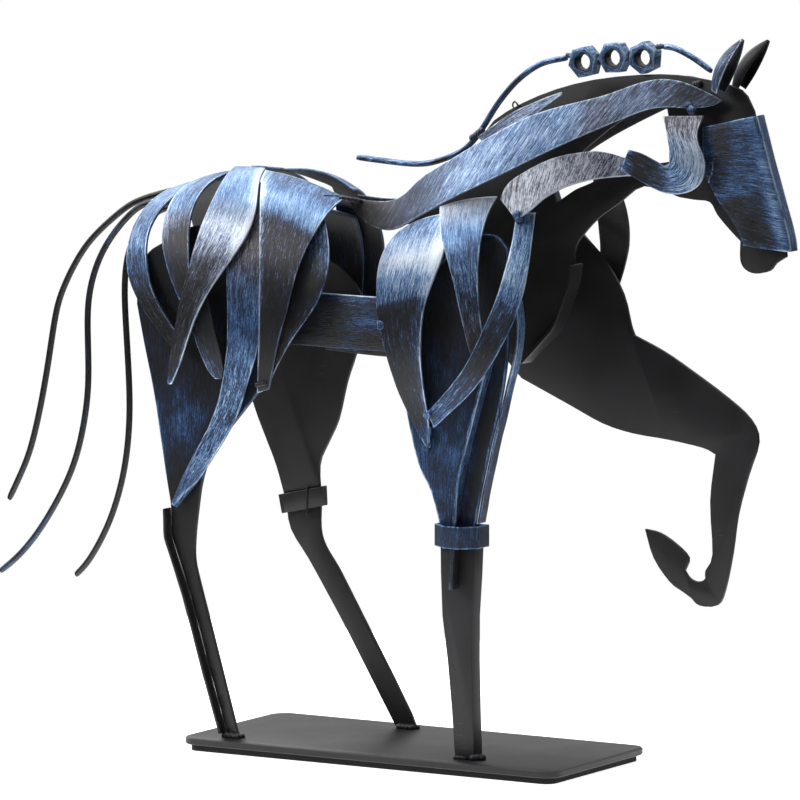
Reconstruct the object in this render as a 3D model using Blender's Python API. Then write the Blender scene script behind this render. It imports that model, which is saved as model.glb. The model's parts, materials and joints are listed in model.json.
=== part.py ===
"""Tabletop horse built from cut and bent sheet steel, walking on a flat steel base.

Right is the horse's right side, at -Y. Left is at +Y. The nose points along +X.
The figure is drawn in millimetres on a horse 254 mm tall, from the base plate's top to the ear tips,
and FIGURE_HEIGHT sets its real height. Walls, wires, nuts and clearances have their own sizes, in metres.
"""
import math

import bmesh
import bpy
from mathutils import Vector

# Figure
FIGURE_HEIGHT = 0.254
DRAWN_HEIGHT = 254.0
SCALE = FIGURE_HEIGHT / DRAWN_HEIGHT

# Base
BASE_LENGTH = 0.153
BASE_WIDTH = 0.068
BASE_PLATE_THICKNESS = 0.0025
BASE_CORNER_RADIUS = 0.0065
BASE_EDGE_BEVEL = 0.0004
PAD_THICKNESS = 0.0020
PAD_INSET = 0.0022

# Sheet, wire and bolt sizes
STRAP_SHEET = 0.0010
FRAME_SHEET = 0.0015
BASE_GAP = 0.0003
FIT = 0.0003
LAP_CLEARANCE = 0.0008
LEG_SPREAD = 0.0965 * FIGURE_HEIGHT
RIB_HEIGHT = 0.0042
SHIN_FLANGE = 0.0045
CHEST_STRAP_WIDTH = 0.0080
WIRE_DIAMETER = 0.0021
NUT_ACROSS_FLATS = 0.0100
NUT_HEIGHT = 0.0050
NUT_HOLE = 0.0056
NUT_CHAMFER = 0.0006

# Straps lie on one another in layers, each one sheet and a clearance further out.
LAYER = STRAP_SHEET + LAP_CLEARANCE
# Middle of a strap that lies on the outer face of a leg plate.
LEG_FACE = LEG_SPREAD + FRAME_SHEET / 2
ON_LEG = LEG_FACE + FIT + STRAP_SHEET / 2
# Middle of the innermost sheet beside the neck and head plate.
ON_CORE = FRAME_SHEET / 2 + FIT + STRAP_SHEET / 2
# Middle of a narrow strip that follows a plate's edge.
BY_EDGE = FIT + STRAP_SHEET / 2

# Body form: (place along the horse, height of the back line, half width), drawn millimetres.
RUMP = [(-118, 176, 19.0), (-104, 189, 25.5), (-94, 193.2, 28.5), (-82, 195.8, 31.0), (-68, 197.3, 33.0),
        (-55, 197, 33.0), (-42, 195, 32.0), (-30, 191.8, 30.5), (-18, 187, 29.0)]
SHOULDER = [(-16, 188, 28.0), (0, 194, 31.0), (12, 199, 33.0), (25, 203, 34.0), (40, 204, 33.5),
            (55, 200, 31.0), (65, 193, 27.0), (74, 180, 20.0)]
WIDEST_HEIGHT = 153.0
LEG_TAPER_DEPTH = 43.0
SECTION_FULLNESS = 2.3

RIGHT = -1
LEFT = 1


def clear_scene():
    for item in list(bpy.data.objects):
        bpy.data.objects.remove(item, do_unlink=True)


def material(name, colour, roughness, metallic):
    made = bpy.data.materials.new(name)
    made.use_nodes = True
    shader = made.node_tree.nodes["Principled BSDF"]
    shader.inputs["Base Color"].default_value = (*colour, 1.0)
    shader.inputs["Roughness"].default_value = roughness
    shader.inputs["Metallic"].default_value = metallic
    return made


def new_object(name, mesh, finish, parent):
    item = bpy.data.objects.new(name, mesh)
    bpy.context.collection.objects.link(item)
    mesh.materials.append(finish)
    item.parent = parent
    return item


def smooth_line(points, spans):
    """Points read from one smooth curve through the given ones, spans pieces between each two."""
    ends = [2 * points[0] - points[1], *points, 2 * points[-1] - points[-2]]
    line = []
    for i in range(len(points) - 1):
        before, start, end, after = ends[i:i + 4]
        for step in range(spans):
            t = step / spans
            bend_in = (end - before) / 2
            bend_out = (after - start) / 2
            line.append((2 * t**3 - 3 * t**2 + 1) * start + (t**3 - 2 * t**2 + t) * bend_in
                        + (3 * t**2 - 2 * t**3) * end + (t**3 - t**2) * bend_out)
    line.append(points[-1])
    return line


def even_line(points, count):
    """The same smooth curve, read at count + 1 places an even distance apart."""
    line = smooth_line(points, 8)
    lengths = [0.0]
    for a, b in zip(line, line[1:]):
        lengths.append(lengths[-1] + (b - a).length)
    even = []
    piece = 0
    for i in range(count + 1):
        wanted = lengths[-1] * i / count
        while piece < len(line) - 2 and lengths[piece + 1] < wanted:
            piece += 1
        share = (wanted - lengths[piece]) / max(lengths[piece + 1] - lengths[piece], 1e-9)
        even.append(line[piece].lerp(line[piece + 1], min(share, 1.0)))
    return even


def solid_sheet(name, rows, thickness, finish, parent, closed=False):
    """A sheet laid through rows of points, thickened equally to both sides."""
    mesh = bpy.data.meshes.new(name)
    bm = bmesh.new()
    grid = [[bm.verts.new(point) for point in row] for row in rows]
    if closed:
        grid.append(grid[0])
    for row, after in zip(grid, grid[1:]):
        for a, b, c, d in zip(row, row[1:], after[1:], after):
            bm.faces.new((a, b, c, d))
    bmesh.ops.recalc_face_normals(bm, faces=bm.faces)
    bm.to_mesh(mesh)
    bm.free()
    mesh.shade_smooth()
    item = new_object(name, mesh, finish, parent)
    wall = item.modifiers.new("Sheet thickness", "SOLIDIFY")
    wall.thickness = thickness
    wall.offset = 0.0
    wall.use_even_offset = True
    return item


def plate_edge(run):
    """The line that one run of a plate's outline follows, in metres."""
    drawn = [Vector((x, 0.0, z)) * SCALE for x, z in run]
    return smooth_line(drawn, 3) if len(drawn) > 2 else drawn


def edge_place(run, height):
    """Place along the horse of a plate's edge at a height."""
    line = plate_edge(run)
    for a, b in zip(line, line[1:]):
        if a.z != b.z and min(a.z, b.z) <= height <= max(a.z, b.z):
            return a.lerp(b, (height - a.z) / (b.z - a.z)).x
    return min(line, key=lambda place: abs(place.z - height)).x


def cut_plate(name, runs, thickness, side_y, finish, parent, windows=()):
    """An upright plate cut to an outline. Each run of the outline is smooth, and runs meet in corners."""
    mesh = bpy.data.meshes.new(name)
    bm = bmesh.new()
    for loop_runs in (runs, *windows):
        points = []
        for run in loop_runs:
            points.extend(plate_edge(run)[:-1])
        verts = [bm.verts.new(point) for point in points]
        for i, vert in enumerate(verts):
            bm.edges.new((vert, verts[(i + 1) % len(verts)]))
    bmesh.ops.triangle_fill(bm, edges=bm.edges, use_beauty=True, use_dissolve=False)
    bm.to_mesh(mesh)
    bm.free()
    item = new_object(name, mesh, finish, parent)
    item.location.y = side_y
    wall = item.modifiers.new("Plate thickness", "SOLIDIFY")
    wall.thickness = thickness
    wall.offset = 0.0
    return item


def form_at(form, x):
    """Back line height and half width of the body at x, on smooth curves through the drawn places."""
    line = smooth_line([Vector(place) for place in form], 6)
    for a, b in zip(line, line[1:]):
        if x <= b.x:
            place = a.lerp(b, max((x - a.x) / (b.x - a.x), 0.0))
            return place.y, place.z
    return line[-1].y, line[-1].z


def body_section(form, x):
    """Half of the body's cross section at x, from the back line out and down, in metres."""
    top, half = form_at(form, x)
    points = []
    for i in range(41):
        angle = math.pi / 2 * i / 40
        out = half * SCALE * math.sin(angle) ** (2 / SECTION_FULLNESS)
        up = (WIDEST_HEIGHT + (top - WIDEST_HEIGHT) * math.cos(angle) ** (2 / SECTION_FULLNESS)) * SCALE
        points.append(Vector((out, up)))
    for i in range(1, 41):
        fall = 1.8 * LEG_TAPER_DEPTH * i / 40
        share = min(fall / LEG_TAPER_DEPTH, 1.0)
        ease = share * share * (3 - 2 * share)
        out = half * SCALE + (ON_LEG - half * SCALE) * ease
        points.append(Vector((out, (WIDEST_HEIGHT - fall) * SCALE)))
    return points


def under_straps(form, run):
    """A leg plate's upper outline, lowered wherever it would come through the straps over it."""
    out = LEG_FACE + FIT + STRAP_SHEET
    lowered = []
    for x, z in run:
        skin = [place.y / SCALE for place in body_section(form, x)[:41] if place.x >= out]
        lowered.append((x, min(z, skin[0] if skin else WIDEST_HEIGHT)))
    return lowered


def on_body(form, x, girth):
    """Point of the body form at x, girth drawn millimetres down from the back line over the skin."""
    left_over = girth * SCALE
    points = body_section(form, x)
    for a, b in zip(points, points[1:]):
        step = (b - a).length
        if left_over <= step:
            place = a.lerp(b, left_over / step)
            return Vector((x * SCALE, place.x, place.y))
        left_over -= step
    return Vector((x * SCALE, points[-1].x, points[-1].y - left_over))


def lifted(form, x, girth, lift):
    """The same point moved out along the skin's normal."""
    reach = 0.8
    along = on_body(form, x + reach, girth) - on_body(form, x - reach, girth)
    down = on_body(form, x, girth + reach) - on_body(form, x, max(girth - reach, 0.0))
    normal = along.cross(down).normalized()
    if normal.y < 0 or (abs(normal.y) < 0.2 and normal.z < 0):
        normal.negate()
    return on_body(form, x, girth) + normal * lift


def body_strap(name, side, form, first, second, layers, finish, parent, rounded=0.0, stations=12, across=2):
    """A strap bent over the body form between two edges, each a list of (x, girth) points.

    layers gives the layer it lies on at its top and at its foot. rounded is the length of a round foot.
    """
    edge_a = even_line([Vector((x, girth)) for x, girth in first], stations)
    edge_b = even_line([Vector((x, girth)) for x, girth in second], stations)
    length = sum((b - a).length for a, b in zip(edge_a, edge_a[1:]))
    rows = []
    for i, (a, b) in enumerate(zip(edge_a, edge_b)):
        t = i / stations
        middle = (a + b) / 2
        share = 1.0
        if rounded:
            into_tip = max(0.0, 1.0 - (1.0 - t) * length / rounded)
            share = math.sqrt(1.0 - (0.92 * into_tip) ** 2)
        lift = LAYER * (layers[0] + (layers[1] - layers[0]) * min(t / 0.6, 1.0))
        row = []
        for j in range(across + 1):
            place = middle.lerp(a if j < across / 2 else b, share * abs(2 * j / across - 1))
            point = lifted(form, place.x, place.y, lift)
            row.append(Vector((point.x, side * point.y, point.z)))
        rows.append(row)
    return solid_sheet(name, rows, STRAP_SHEET, finish, parent)


def beside_core(x, out, z, side):
    """Point out drawn millimetres beyond the innermost sheet beside the neck and head plate."""
    return Vector((x * SCALE, side * (ON_CORE + out * SCALE), z * SCALE))


def core_strap(name, side, first, second, finish, parent, stations=16, across=2, bow=0.0):
    """A strap beside the neck between two edges, each a list of (x, out, z). bow crowns its middle."""
    edge_a = even_line([beside_core(*point, side) for point in first], stations)
    edge_b = even_line([beside_core(*point, side) for point in second], stations)
    rows = []
    for a, b in zip(edge_a, edge_b):
        row = []
        for j in range(across + 1):
            crown = bow * SCALE * (1.0 - (2 * j / across - 1) ** 2)
            row.append(a.lerp(b, j / across) + Vector((0.0, side * crown, 0.0)))
        rows.append(row)
    return solid_sheet(name, rows, STRAP_SHEET, finish, parent)


def beside_line(line, distance):
    """The line in the XZ plane moved sideways, to the left of its direction seen from the right side."""
    moved = []
    for i, place in enumerate(line):
        course = (line[min(i + 1, len(line) - 1)] - line[max(i - 1, 0)]).normalized()
        moved.append(place + Vector((-course.z, 0.0, course.x)) * distance)
    return moved


def bowed_out(line, reach, lowest, highest):
    """The line moved to the front between two drawn heights, by reach drawn millimetres half way up."""
    moved = []
    for place in line:
        share = (place.z / SCALE - lowest) / (highest - lowest)
        bow = math.sin(math.pi * min(max(share, 0.0), 1.0)) ** 2
        moved.append(place + Vector((reach * SCALE * bow, 0.0, 0.0)))
    return moved


def edge_strip(name, side, line, inner, outer, thickness, finish, parent):
    """A flat strip that stands across the leg plates, along a line and from inner to outer in Y."""
    rows = [[Vector((p.x, side * inner, p.z)), Vector((p.x, side * outer, p.z))] for p in line]
    return solid_sheet(name, rows, thickness, finish, parent)


def wire(name, route, diameter, finish, parent, spans=2):
    """A round wire along a smooth curve through (x, y, z) drawn millimetres."""
    line = smooth_line([Vector(point) * SCALE for point in route], spans)
    curve = bpy.data.curves.new(name, "CURVE")
    curve.dimensions = "3D"
    curve.bevel_depth = diameter / 2
    curve.bevel_resolution = 2
    curve.use_fill_caps = True
    spline = curve.splines.new("POLY")
    spline.points.add(len(line) - 1)
    for point, place in zip(spline.points, line):
        point.co = (*place, 1.0)
    spline.use_smooth = True
    return new_object(name, curve, finish, parent)


def round_corner_slab(name, length, width, radius, bottom, height, finish, bevel):
    """A flat slab with round corners, its long side along X."""
    mesh = bpy.data.meshes.new(name)
    bm = bmesh.new()
    verts = []
    for quarter, (sx, sy) in enumerate(((1, 1), (-1, 1), (-1, -1), (1, -1))):
        for step in range(7):
            angle = math.pi / 2 * (quarter + step / 6)
            x = sx * (length / 2 - radius) + radius * math.cos(angle)
            y = sy * (width / 2 - radius) + radius * math.sin(angle)
            verts.append(bm.verts.new((x, y, 0.0)))
    face = bm.faces.new(verts)
    raised = bmesh.ops.extrude_face_region(bm, geom=[face])
    top = [part for part in raised["geom"] if isinstance(part, bmesh.types.BMVert)]
    bmesh.ops.translate(bm, vec=(0.0, 0.0, height), verts=top)
    bmesh.ops.recalc_face_normals(bm, faces=bm.faces)
    bm.to_mesh(mesh)
    bm.free()
    item = new_object(name, mesh, finish, None)
    item.location.z = bottom
    if bevel:
        edge = item.modifiers.new("Broken edge", "BEVEL")
        edge.width = bevel
        edge.segments = 1
        edge.limit_method = "ANGLE"
        edge.angle_limit = math.radians(60)
    return item


def hexagon_nut(name, x, z, turn, finish, parent):
    """A hexagon nut on edge, its hole across the horse, standing on the neck's crest."""
    corner_radius = NUT_ACROSS_FLATS / math.sqrt(3)
    mesh = bpy.data.meshes.new(name)
    bm = bmesh.new()
    rings = [(NUT_HOLE / 2 + NUT_CHAMFER, -NUT_HEIGHT / 2, 12), (corner_radius, -NUT_HEIGHT / 2, 6),
             (corner_radius, NUT_HEIGHT / 2, 6), (NUT_HOLE / 2 + NUT_CHAMFER, NUT_HEIGHT / 2, 12),
             (NUT_HOLE / 2, NUT_HEIGHT / 2 - NUT_CHAMFER, 12),
             (NUT_HOLE / 2, NUT_CHAMFER - NUT_HEIGHT / 2, 12)]
    flat_to_corner = math.cos(math.pi / 6)
    loops = []
    for radius, depth, sides in rings:
        loop = []
        for k in range(12):
            angle = 2 * math.pi * k / 12 + turn
            reach = radius
            if sides == 6 and k % 2:
                reach = radius * flat_to_corner
            loop.append(bm.verts.new((reach * math.cos(angle), depth, reach * math.sin(angle))))
        loops.append(loop)
    for ring, after in zip(loops, loops[1:] + loops[:1]):
        for k in range(12):
            bm.faces.new((ring[k], ring[(k + 1) % 12], after[(k + 1) % 12], after[k]))
    bmesh.ops.recalc_face_normals(bm, faces=bm.faces)
    bm.to_mesh(mesh)
    bm.free()
    item = new_object(name, mesh, finish, parent)
    item.location = (x * SCALE, 0.0, z * SCALE)
    return item


def rolled_ear(name, side, root, tip, open_angle, finish, parent):
    """A leaf of sheet rolled to a half cone, open to the front, narrowing to a point at the tip."""
    base = beside_core(*root, side)
    point = beside_core(*tip, side)
    axis = (point - base).normalized()
    front = Vector((axis.z, 0.0, -axis.x)).normalized()
    across = axis.cross(front).normalized()
    rows = []
    for i in range(7):
        t = i / 6
        radius = EAR_RADIUS * SCALE * (0.62 + 1.5 * t - 2.0 * t * t)
        centre = base.lerp(point, t) - front * (0.7 * SCALE * math.sin(math.pi * t))
        row = []
        for j in range(7):
            angle = math.radians(open_angle) * (j / 6 - 0.5)
            row.append(centre - front * radius * math.cos(angle) + across * radius * math.sin(angle))
        rows.append(row)
    return solid_sheet(name, rows, STRAP_SHEET * 0.8, finish, parent)


def wrapped_cuff(name, low_plan, high_plan, heights, slope, thickness, finish, parent):
    """A band of sheet wrapped round a leg, between two (x, y) lines in metres. slope raises its front."""
    centre = sum(x for x, y in low_plan) / len(low_plan)
    rows = []
    for low, high in zip(low_plan, high_plan):
        rows.append([Vector((*low, heights[0] + slope * (low[0] - centre))),
                     Vector((*high, heights[1] + slope * (high[0] - centre)))])
    return solid_sheet(name, rows, thickness, finish, parent, closed=True)


EAR_RADIUS = 4.6
EAR_OPENING = 210

# The neck and head plate, from the withers along the crest to the poll, face, throat and chest.
CREST_RUN = [(0, 187), (10, 196), (20, 205), (27, 212), (33, 221.5), (51, 231), (73, 237.5),
             (99, 240.5), (117, 239.5), (131, 236.5), (136, 229.5)]
FACE_RUN = [(136, 229.5), (140, 214), (143.5, 200), (148, 187), (149, 180)]
LIP_RUN = [(149, 180), (145, 177.5), (142.5, 174.8), (137, 173.6), (133, 174.8), (131, 178), (131, 184.5)]
JAW_RUN = [(131, 184.5), (127, 188), (122, 193), (119, 197.3), (113, 197.8), (107, 198.4)]
THROAT_RUN = [(107, 198.4), (93, 201.5), (83, 195), (75, 189.5), (69, 183.5), (66, 179), (65, 173),
              (64, 166), (61, 158.5), (58, 151.5), (54, 147), (45, 138)]
BREAST_RUN = [(45, 138), (30, 144), (14, 158), (4, 173), (0, 187)]
NECK_WINDOW = [[(58.2, 194), (62.2, 196.7), (66.2, 199.2), (71.5, 201.4), (83, 206.5), (103, 210.5)],
               [(103, 210.5), (102, 229.2), (93, 228.3), (83, 223.3), (70, 213.5), (60, 205),
                (57, 199), (58.2, 194)]]

# Leg plates, from the top down the rear edge and up the front edge.
RIGHT_HIND_TOP = [(-38, 152), (-40, 166), (-47, 178), (-58, 184), (-70, 185), (-80, 183),
                  (-88.5, 178), (-94, 172), (-98, 163), (-99, 152)]
RIGHT_HIND_RUNS = [[(-99, 152), (-96, 138), (-92, 121), (-89, 104), (-87, 92), (-85.1, 82)],
                   [(-85.1, 82), (-84.8, 76), (-84.7, 71), (-83.2, 66), (-76.6, 48.4), (-69.5, 25.2),
                    (-61.4, 0)],
                   [(-61.4, 0), (-57, 0)],
                   [(-57, 0), (-67, 34), (-73, 54), (-75, 62), (-75, 69), (-74, 78), (-71.5, 92),
                    (-66, 103), (-51, 120.5), (-44, 130), (-38, 141.5), (-38, 152)]]
LEFT_THIGH_TOP = [(-33, 150), (-42, 162), (-56, 168), (-72, 168), (-84, 162), (-90, 150)]
LEFT_THIGH_RUNS = [[(-90, 150), (-88, 134), (-81, 112.5), (-76, 101), (-71.5, 91), (-67.6, 79)],
                   [(-67.6, 79), (-52.8, 79)],
                   [(-52.8, 79), (-53.5, 92), (-50, 100), (-45.5, 109), (-42, 122.5), (-38, 133.5),
                    (-33, 150)]]
LEFT_SHIN_RUNS = [[(-67.4, 78.2), (-65.3, 68), (-58, 58), (-50, 46), (-41, 32), (-21.5, 0)],
                  [(-21.5, 0), (-15, 0)],
                  [(-15, 0), (-15.2, 5), (-41, 48), (-46, 56), (-51, 63), (-53, 69), (-52.9, 78.2)],
                  [(-52.9, 78.2), (-67.4, 78.2)]]
SHOULDER_PLATE_TOP = [(53, 180), (48, 185), (38, 183), (26, 173), (15, 156), (9, 140)]
SHOULDER_PLATE_RUNS = [[(9, 140), (12, 122), (17, 103), (22.4, 93), (26.4, 79.5)],
                       [(26.4, 79.5), (39.4, 79.5)],
                       [(39.4, 79.5), (40.2, 84), (42.1, 94), (44, 102), (46.5, 112.5), (48.9, 121),
                        (51.2, 131), (52.8, 142), (53.5, 152), (53.6, 162), (53, 180)]]
RAISED_LEG_RUNS = [[(55, 180.5), (64, 171.5), (71, 160.5), (74, 150), (75.5, 146.3)],
                   [(75.5, 146.3), (87, 141.5), (98, 135.5), (113, 126.5), (122, 119.5), (125, 112),
                    (121, 100), (117, 86), (115, 72.5), (112, 59), (109, 53.6), (102, 53), (98.5, 55.5)],
                   [(98.5, 55.5), (95, 57.5), (90, 60.5), (83.5, 68.5), (80, 78.5)],
                   [(80, 78.5), (86, 77.5), (92.5, 74), (97.5, 69.5), (96, 64.8)],
                   [(96, 64.8), (98, 62.4), (101, 61.4), (104, 62.5), (104.2, 65.5), (107, 71.5),
                    (106, 90), (108, 106.5)],
                   [(108, 106.5), (103, 108.5), (89, 110.5), (75, 111.8), (63, 114.5), (50, 120),
                    (30, 128.5)],
                   [(30, 128.5), (20, 140), (18, 156), (28, 174), (42, 181), (55, 180.5)]]

# Right foreleg's shin: (height, rear edge, bend) down the leg, and how far the bend's free edge leads it.
FORE_SHIN = [(78.7, 26, 39.6), (65, 26.2, 39), (50, 26.8, 38), (34, 29, 38), (17, 30.7, 38.4),
             (0, 32, 39)]
FLANGE_LEAD = 0.4

# Cuffs: heights of the lower and upper edge, and how steeply the hind one climbs to the front.
FORE_CUFF_HEIGHTS = (74.6, 82.4)
HIND_CUFF_HEIGHTS = (75.8, 82.9)
HIND_CUFF_SLOPE = 0.229

# Straps over the body, as (x, girth) edges: rear edge, then front edge.
RUMP_STRAPS = {
    "rump_strap_1": ([(-74, 4), (-88, 4.5), (-98, 8), (-103, 16), (-104.5, 27), (-104, 36),
                      (-101, 45), (-96, 55), (-88, 66), (-78, 79)],
                     [(-77, 6), (-86, 11), (-92, 20), (-95, 28), (-94.5, 36), (-92, 46), (-88, 56),
                      (-80, 68), (-75, 74)], (0, 0), 0.0),
    "rump_strap_2": ([(-74, 4), (-84, 12), (-87, 20), (-87, 27), (-86, 35), (-83, 43), (-79, 52),
                      (-75, 59)],
                     [(-71, 4), (-74, 12), (-75.5, 22), (-75, 31), (-73, 40), (-71.5, 48), (-70, 56)],
                     (1, 1), 0.0),
    "rump_strap_3": ([(-70, 5), (-68, 14), (-67, 24), (-68, 34), (-69.5, 45), (-73, 58), (-77.5, 72),
                      (-83.5, 87)],
                     [(-57.8, 5), (-55.8, 11), (-51.5, 20), (-48.1, 29), (-49.5, 37), (-54, 45),
                      (-58, 51), (-64, 60), (-70, 71), (-79, 88)], (2, 2), 5.0),
    "rump_strap_4": ([(-56.6, 7), (-54.6, 12), (-50.6, 20), (-46, 30), (-43, 42), (-42, 50),
                      (-42, 65), (-43, 74), (-45, 89)],
                     [(-24, 8), (-24.5, 14), (-25, 23), (-26.5, 32), (-28.5, 41), (-31, 54),
                      (-35, 67), (-40, 86)], (2, 2), 0.0),
    "rump_strap_5": ([(-58, 13), (-57, 40), (-55.5, 55), (-55, 67), (-57, 79), (-60, 89), (-64, 100),
                      (-70, 110), (-76, 118.5), (-84.5, 129.5)],
                     [(-40, 13), (-39, 35), (-41, 55), (-43, 71), (-47, 81), (-51, 90), (-55, 101),
                      (-62, 112), (-69.5, 122), (-79, 134)], (1, 1), 6.0),
    "rump_strap_6": ([(-75, 58), (-72, 68), (-69, 78), (-65.5, 88.5)],
                     [(-65, 55), (-62.5, 66), (-60.5, 76), (-59.5, 88)], (0, 0), 4.0),
    "rump_strap_7": ([(-46, 14), (-42, 26), (-38, 42), (-37.5, 54), (-40, 67), (-44.5, 80), (-47, 87)],
                     [(-29, 14), (-23, 22), (-19, 30), (-18.6, 38), (-20.5, 46), (-25, 55), (-31, 65),
                      (-37, 76), (-43, 88)], (0, 0), 0.0),
}
# The far side's straps lie a little closer in at the back line, and these differ from their twins.
# Its fourth strap arches higher over the loin than the rest of the body.
LEFT_LOIN = [*RUMP[:6], (-48, 197.6, 32.5), (-42, 197.1, 32.0), (-37, 195.6, 31.4), (-33, 193.4, 30.9),
             (-27, 190, 30.1), (-18, 186, 29.0)]
LEFT_TOP_LAYER = -0.4
LEFT_RUMP_STRAPS = {
    "rump_strap_3": ([(-70, 5), (-68, 14), (-67, 24), (-68, 34), (-69.5, 45), (-73, 58), (-77.5, 72),
                      (-83.5, 87)],
                     [(-58, 5), (-58, 11), (-55.5, 20), (-52, 29), (-51, 37), (-54, 45), (-58, 51),
                      (-64, 60), (-70, 71), (-79, 88)], (2, 2), 5.0),
    "rump_strap_4": ([(-56.8, 6), (-55.2, 12.8), (-51.8, 17.3), (-47, 21.3), (-46.2, 25.5), (-50, 31),
                      (-49.5, 38), (-47, 46), (-44, 56), (-43, 66), (-43, 76)],
                     [(-29.5, 5), (-31.5, 12), (-32, 18), (-32, 24), (-31.7, 33), (-31.3, 38), (-34, 49),
                      (-36, 59), (-38, 67), (-39, 75)], (2, 2), 0.0),
    "rump_strap_5": ([(-57.5, 30), (-56.5, 42), (-55.5, 55), (-55, 67), (-57, 79), (-60, 89), (-64, 100)],
                     [(-39.5, 30), (-39.5, 42), (-41, 55), (-43, 71), (-47, 81), (-51, 90), (-55, 101)],
                     (1, 1), 6.0),
}
SHOULDER_STRAPS = {
    "shoulder_strap_1": ([(15, 30), (8, 31), (4, 37), (3.5, 45), (4, 54), (5.5, 64), (8, 75),
                          (12, 92), (20, 112)],
                         [(28, 29), (31, 37), (31, 45), (28, 53), (25, 60), (23.5, 70), (22.2, 82),
                          (22, 96), (23.5, 113)], (0, 0), 3.0),
    "shoulder_strap_2": ([(26, 27.5), (28, 34), (31, 41), (36, 52), (39.5, 63), (44, 80)],
                         [(46, 21), (45, 28), (45, 40), (46, 54), (48, 68), (50, 78)], (1, 1), 0.0),
    "shoulder_strap_3": ([(54, 24), (55.5, 32), (55, 42), (53, 54), (49, 66), (42.5, 80), (34, 91),
                          (24.5, 99)],
                         [(59.5, 19), (61.5, 29), (62, 41), (60.5, 52), (57, 64), (50.5, 79),
                          (41, 93), (26.5, 105.5)], (0.6, 2), 0.0),
}
LEFT_SHOULDER_STRAPS = {
    "shoulder_strap_1": ([(15, 30), (8, 31), (4, 37), (3.5, 45), (4, 54), (5.5, 64), (8, 75), (11, 88)],
                         [(28, 29), (31, 37), (31, 45), (28, 53), (25, 60), (23.5, 70), (22.2, 82),
                          (22, 90)],
                         (0, 0), 3.0),
}

# Straps beside the neck, as (x, out, z) edges: upper edge, then lower edge.
CREST_STRAP = ([(-25, 2, 192.3), (-18, 2.5, 191.5), (-6, 5, 191.5), (4, 10, 195), (13, 14, 202),
                (24, 16.5, 207.5), (35, 16.5, 214), (47, 15.5, 220.5), (58, 13.5, 226), (71, 11, 230),
                (83, 9, 233), (93, 8, 237), (101, 7, 239.7), (110, 5.5, 239.7), (117, 4, 237),
                (126, 2.6, 233)],
               [(-22, 2, 187.5), (-18, 3.5, 184.3), (-8, 8, 182), (2, 14, 183), (14.5, 21, 188.3),
                (27, 24, 194.3), (39, 24.5, 200), (52, 22.5, 206.3), (62, 18.5, 212), (74, 14.5, 218),
                (85, 11.5, 223), (94, 9.5, 227), (102, 8.5, 230), (108, 7.5, 230.5),
                (115, 6.5, 229.6), (123, 3.6, 231)])
WITHERS_STRAP = ([(33.5, 10.9, 216.6), (39.7, 10.4, 221.1), (46.1, 8.9, 225.5), (52.7, 8, 228.6),
                  (58.1, 7, 231.1), (64, 5.5, 233.3)],
                 [(38.4, 10.9, 213.5), (43, 10.8, 217), (48.5, 10.4, 220), (53.6, 9.4, 223.4),
                  (58, 8, 227.4), (64.5, 5.6, 232.5)])
LOWER_NECK_STRAP = ([(49, 21.5, 196.5), (51, 20.5, 202), (59, 18.5, 207.5), (67, 15.5, 211.5),
                     (79, 11, 214), (86, 8, 213), (92, 6, 211)],
                    [(56.5, 24, 190.2), (60.5, 23, 192.4), (66, 20.5, 197.9), (73, 16.5, 202),
                     (80, 12.5, 204.2), (88, 8.5, 205.3), (96, 6, 206)])
CHEEK_STRAP = ([(104, 5, 226.6), (107, 7.5, 220), (108.7, 8.5, 213), (107.5, 8.8, 209.8),
                (103.5, 9, 211.5), (98, 9.6, 214), (93, 9.8, 215)],
               [(119.5, 4.2, 227.4), (118.3, 7.5, 220.5), (122.8, 8.5, 212), (121.5, 8.5, 205.5),
                (117, 8.6, 201.7), (107, 9, 200.5), (90, 9.8, 208)])
LEFT_CHEEK_STRAP = ([(106, 5, 226.6), (109, 7.5, 220), (110.5, 8.5, 213)],
                    [(119.5, 4.2, 227.4), (120, 7.5, 219), (121, 8.5, 207)])
LEFT_NECK_STRAP = ([(69, 18, 203), (70.2, 21.5, 196.5), (70.8, 25, 190), (70.8, 27, 183),
                    (69.4, 29.5, 177), (66.5, 32.5, 171), (63.5, 34, 164), (58, 35.5, 152),
                    (50, 35.5, 138)],
                   [(59.4, 21, 204), (58.8, 23.5, 197), (58, 25.8, 191), (57.8, 28, 185),
                    (57, 30.5, 179), (56, 33, 173), (54, 34.7, 165), (49, 35.5, 152), (43, 35.5, 141)])

# The mask: rear edge and nose ridge down the face, as (rear x, rear z, rear out, ridge x, ridge z).
MASK_STATIONS = [(118.5, 223.5, 2.6, 138, 228), (119, 213, 3.4, 141.5, 216),
                 (121.5, 204, 3.8, 145, 204.5), (127, 196, 3.6, 148.5, 194),
                 (133, 189.5, 3.0, 151, 186), (134.5, 183.5, 2.4, 151.3, 182)]
MASK_HALF_WIDTH = 1.6
MASK_NOSE_ROUND = 0.9

BELLY_RIGHT = [(-46, 141.5), (-30, 141.2), (-10, 141), (9, 141)]
BELLY_RIGHT_WIDTH = 19.0
BELLY_LEFT = [(-50, 134), (-30, 133), (-10, 133), (12, 134)]
BELLY_LEFT_WIDTH = 20.0
# The chest strap runs up the neck plate's throat to this height.
CHEST_STRAP_TOP = 173.0

# Heights between which the front strip follows the shoulder plate's front edge, and the bow it makes there.
FRONT_STRIP_HEIGHTS = (83.4, 161.5)
FRONT_STRIP_BOW = 2.3
BOW_HEIGHTS = (126, 174)
RIB = [(47, 140), (45, 133), (41.5, 121), (38.5, 111), (36, 102), (35, 95), (34, 82), (32.5, 60)]
HIND_STRIP_HEIGHTS = (1.5, 80)

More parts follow.
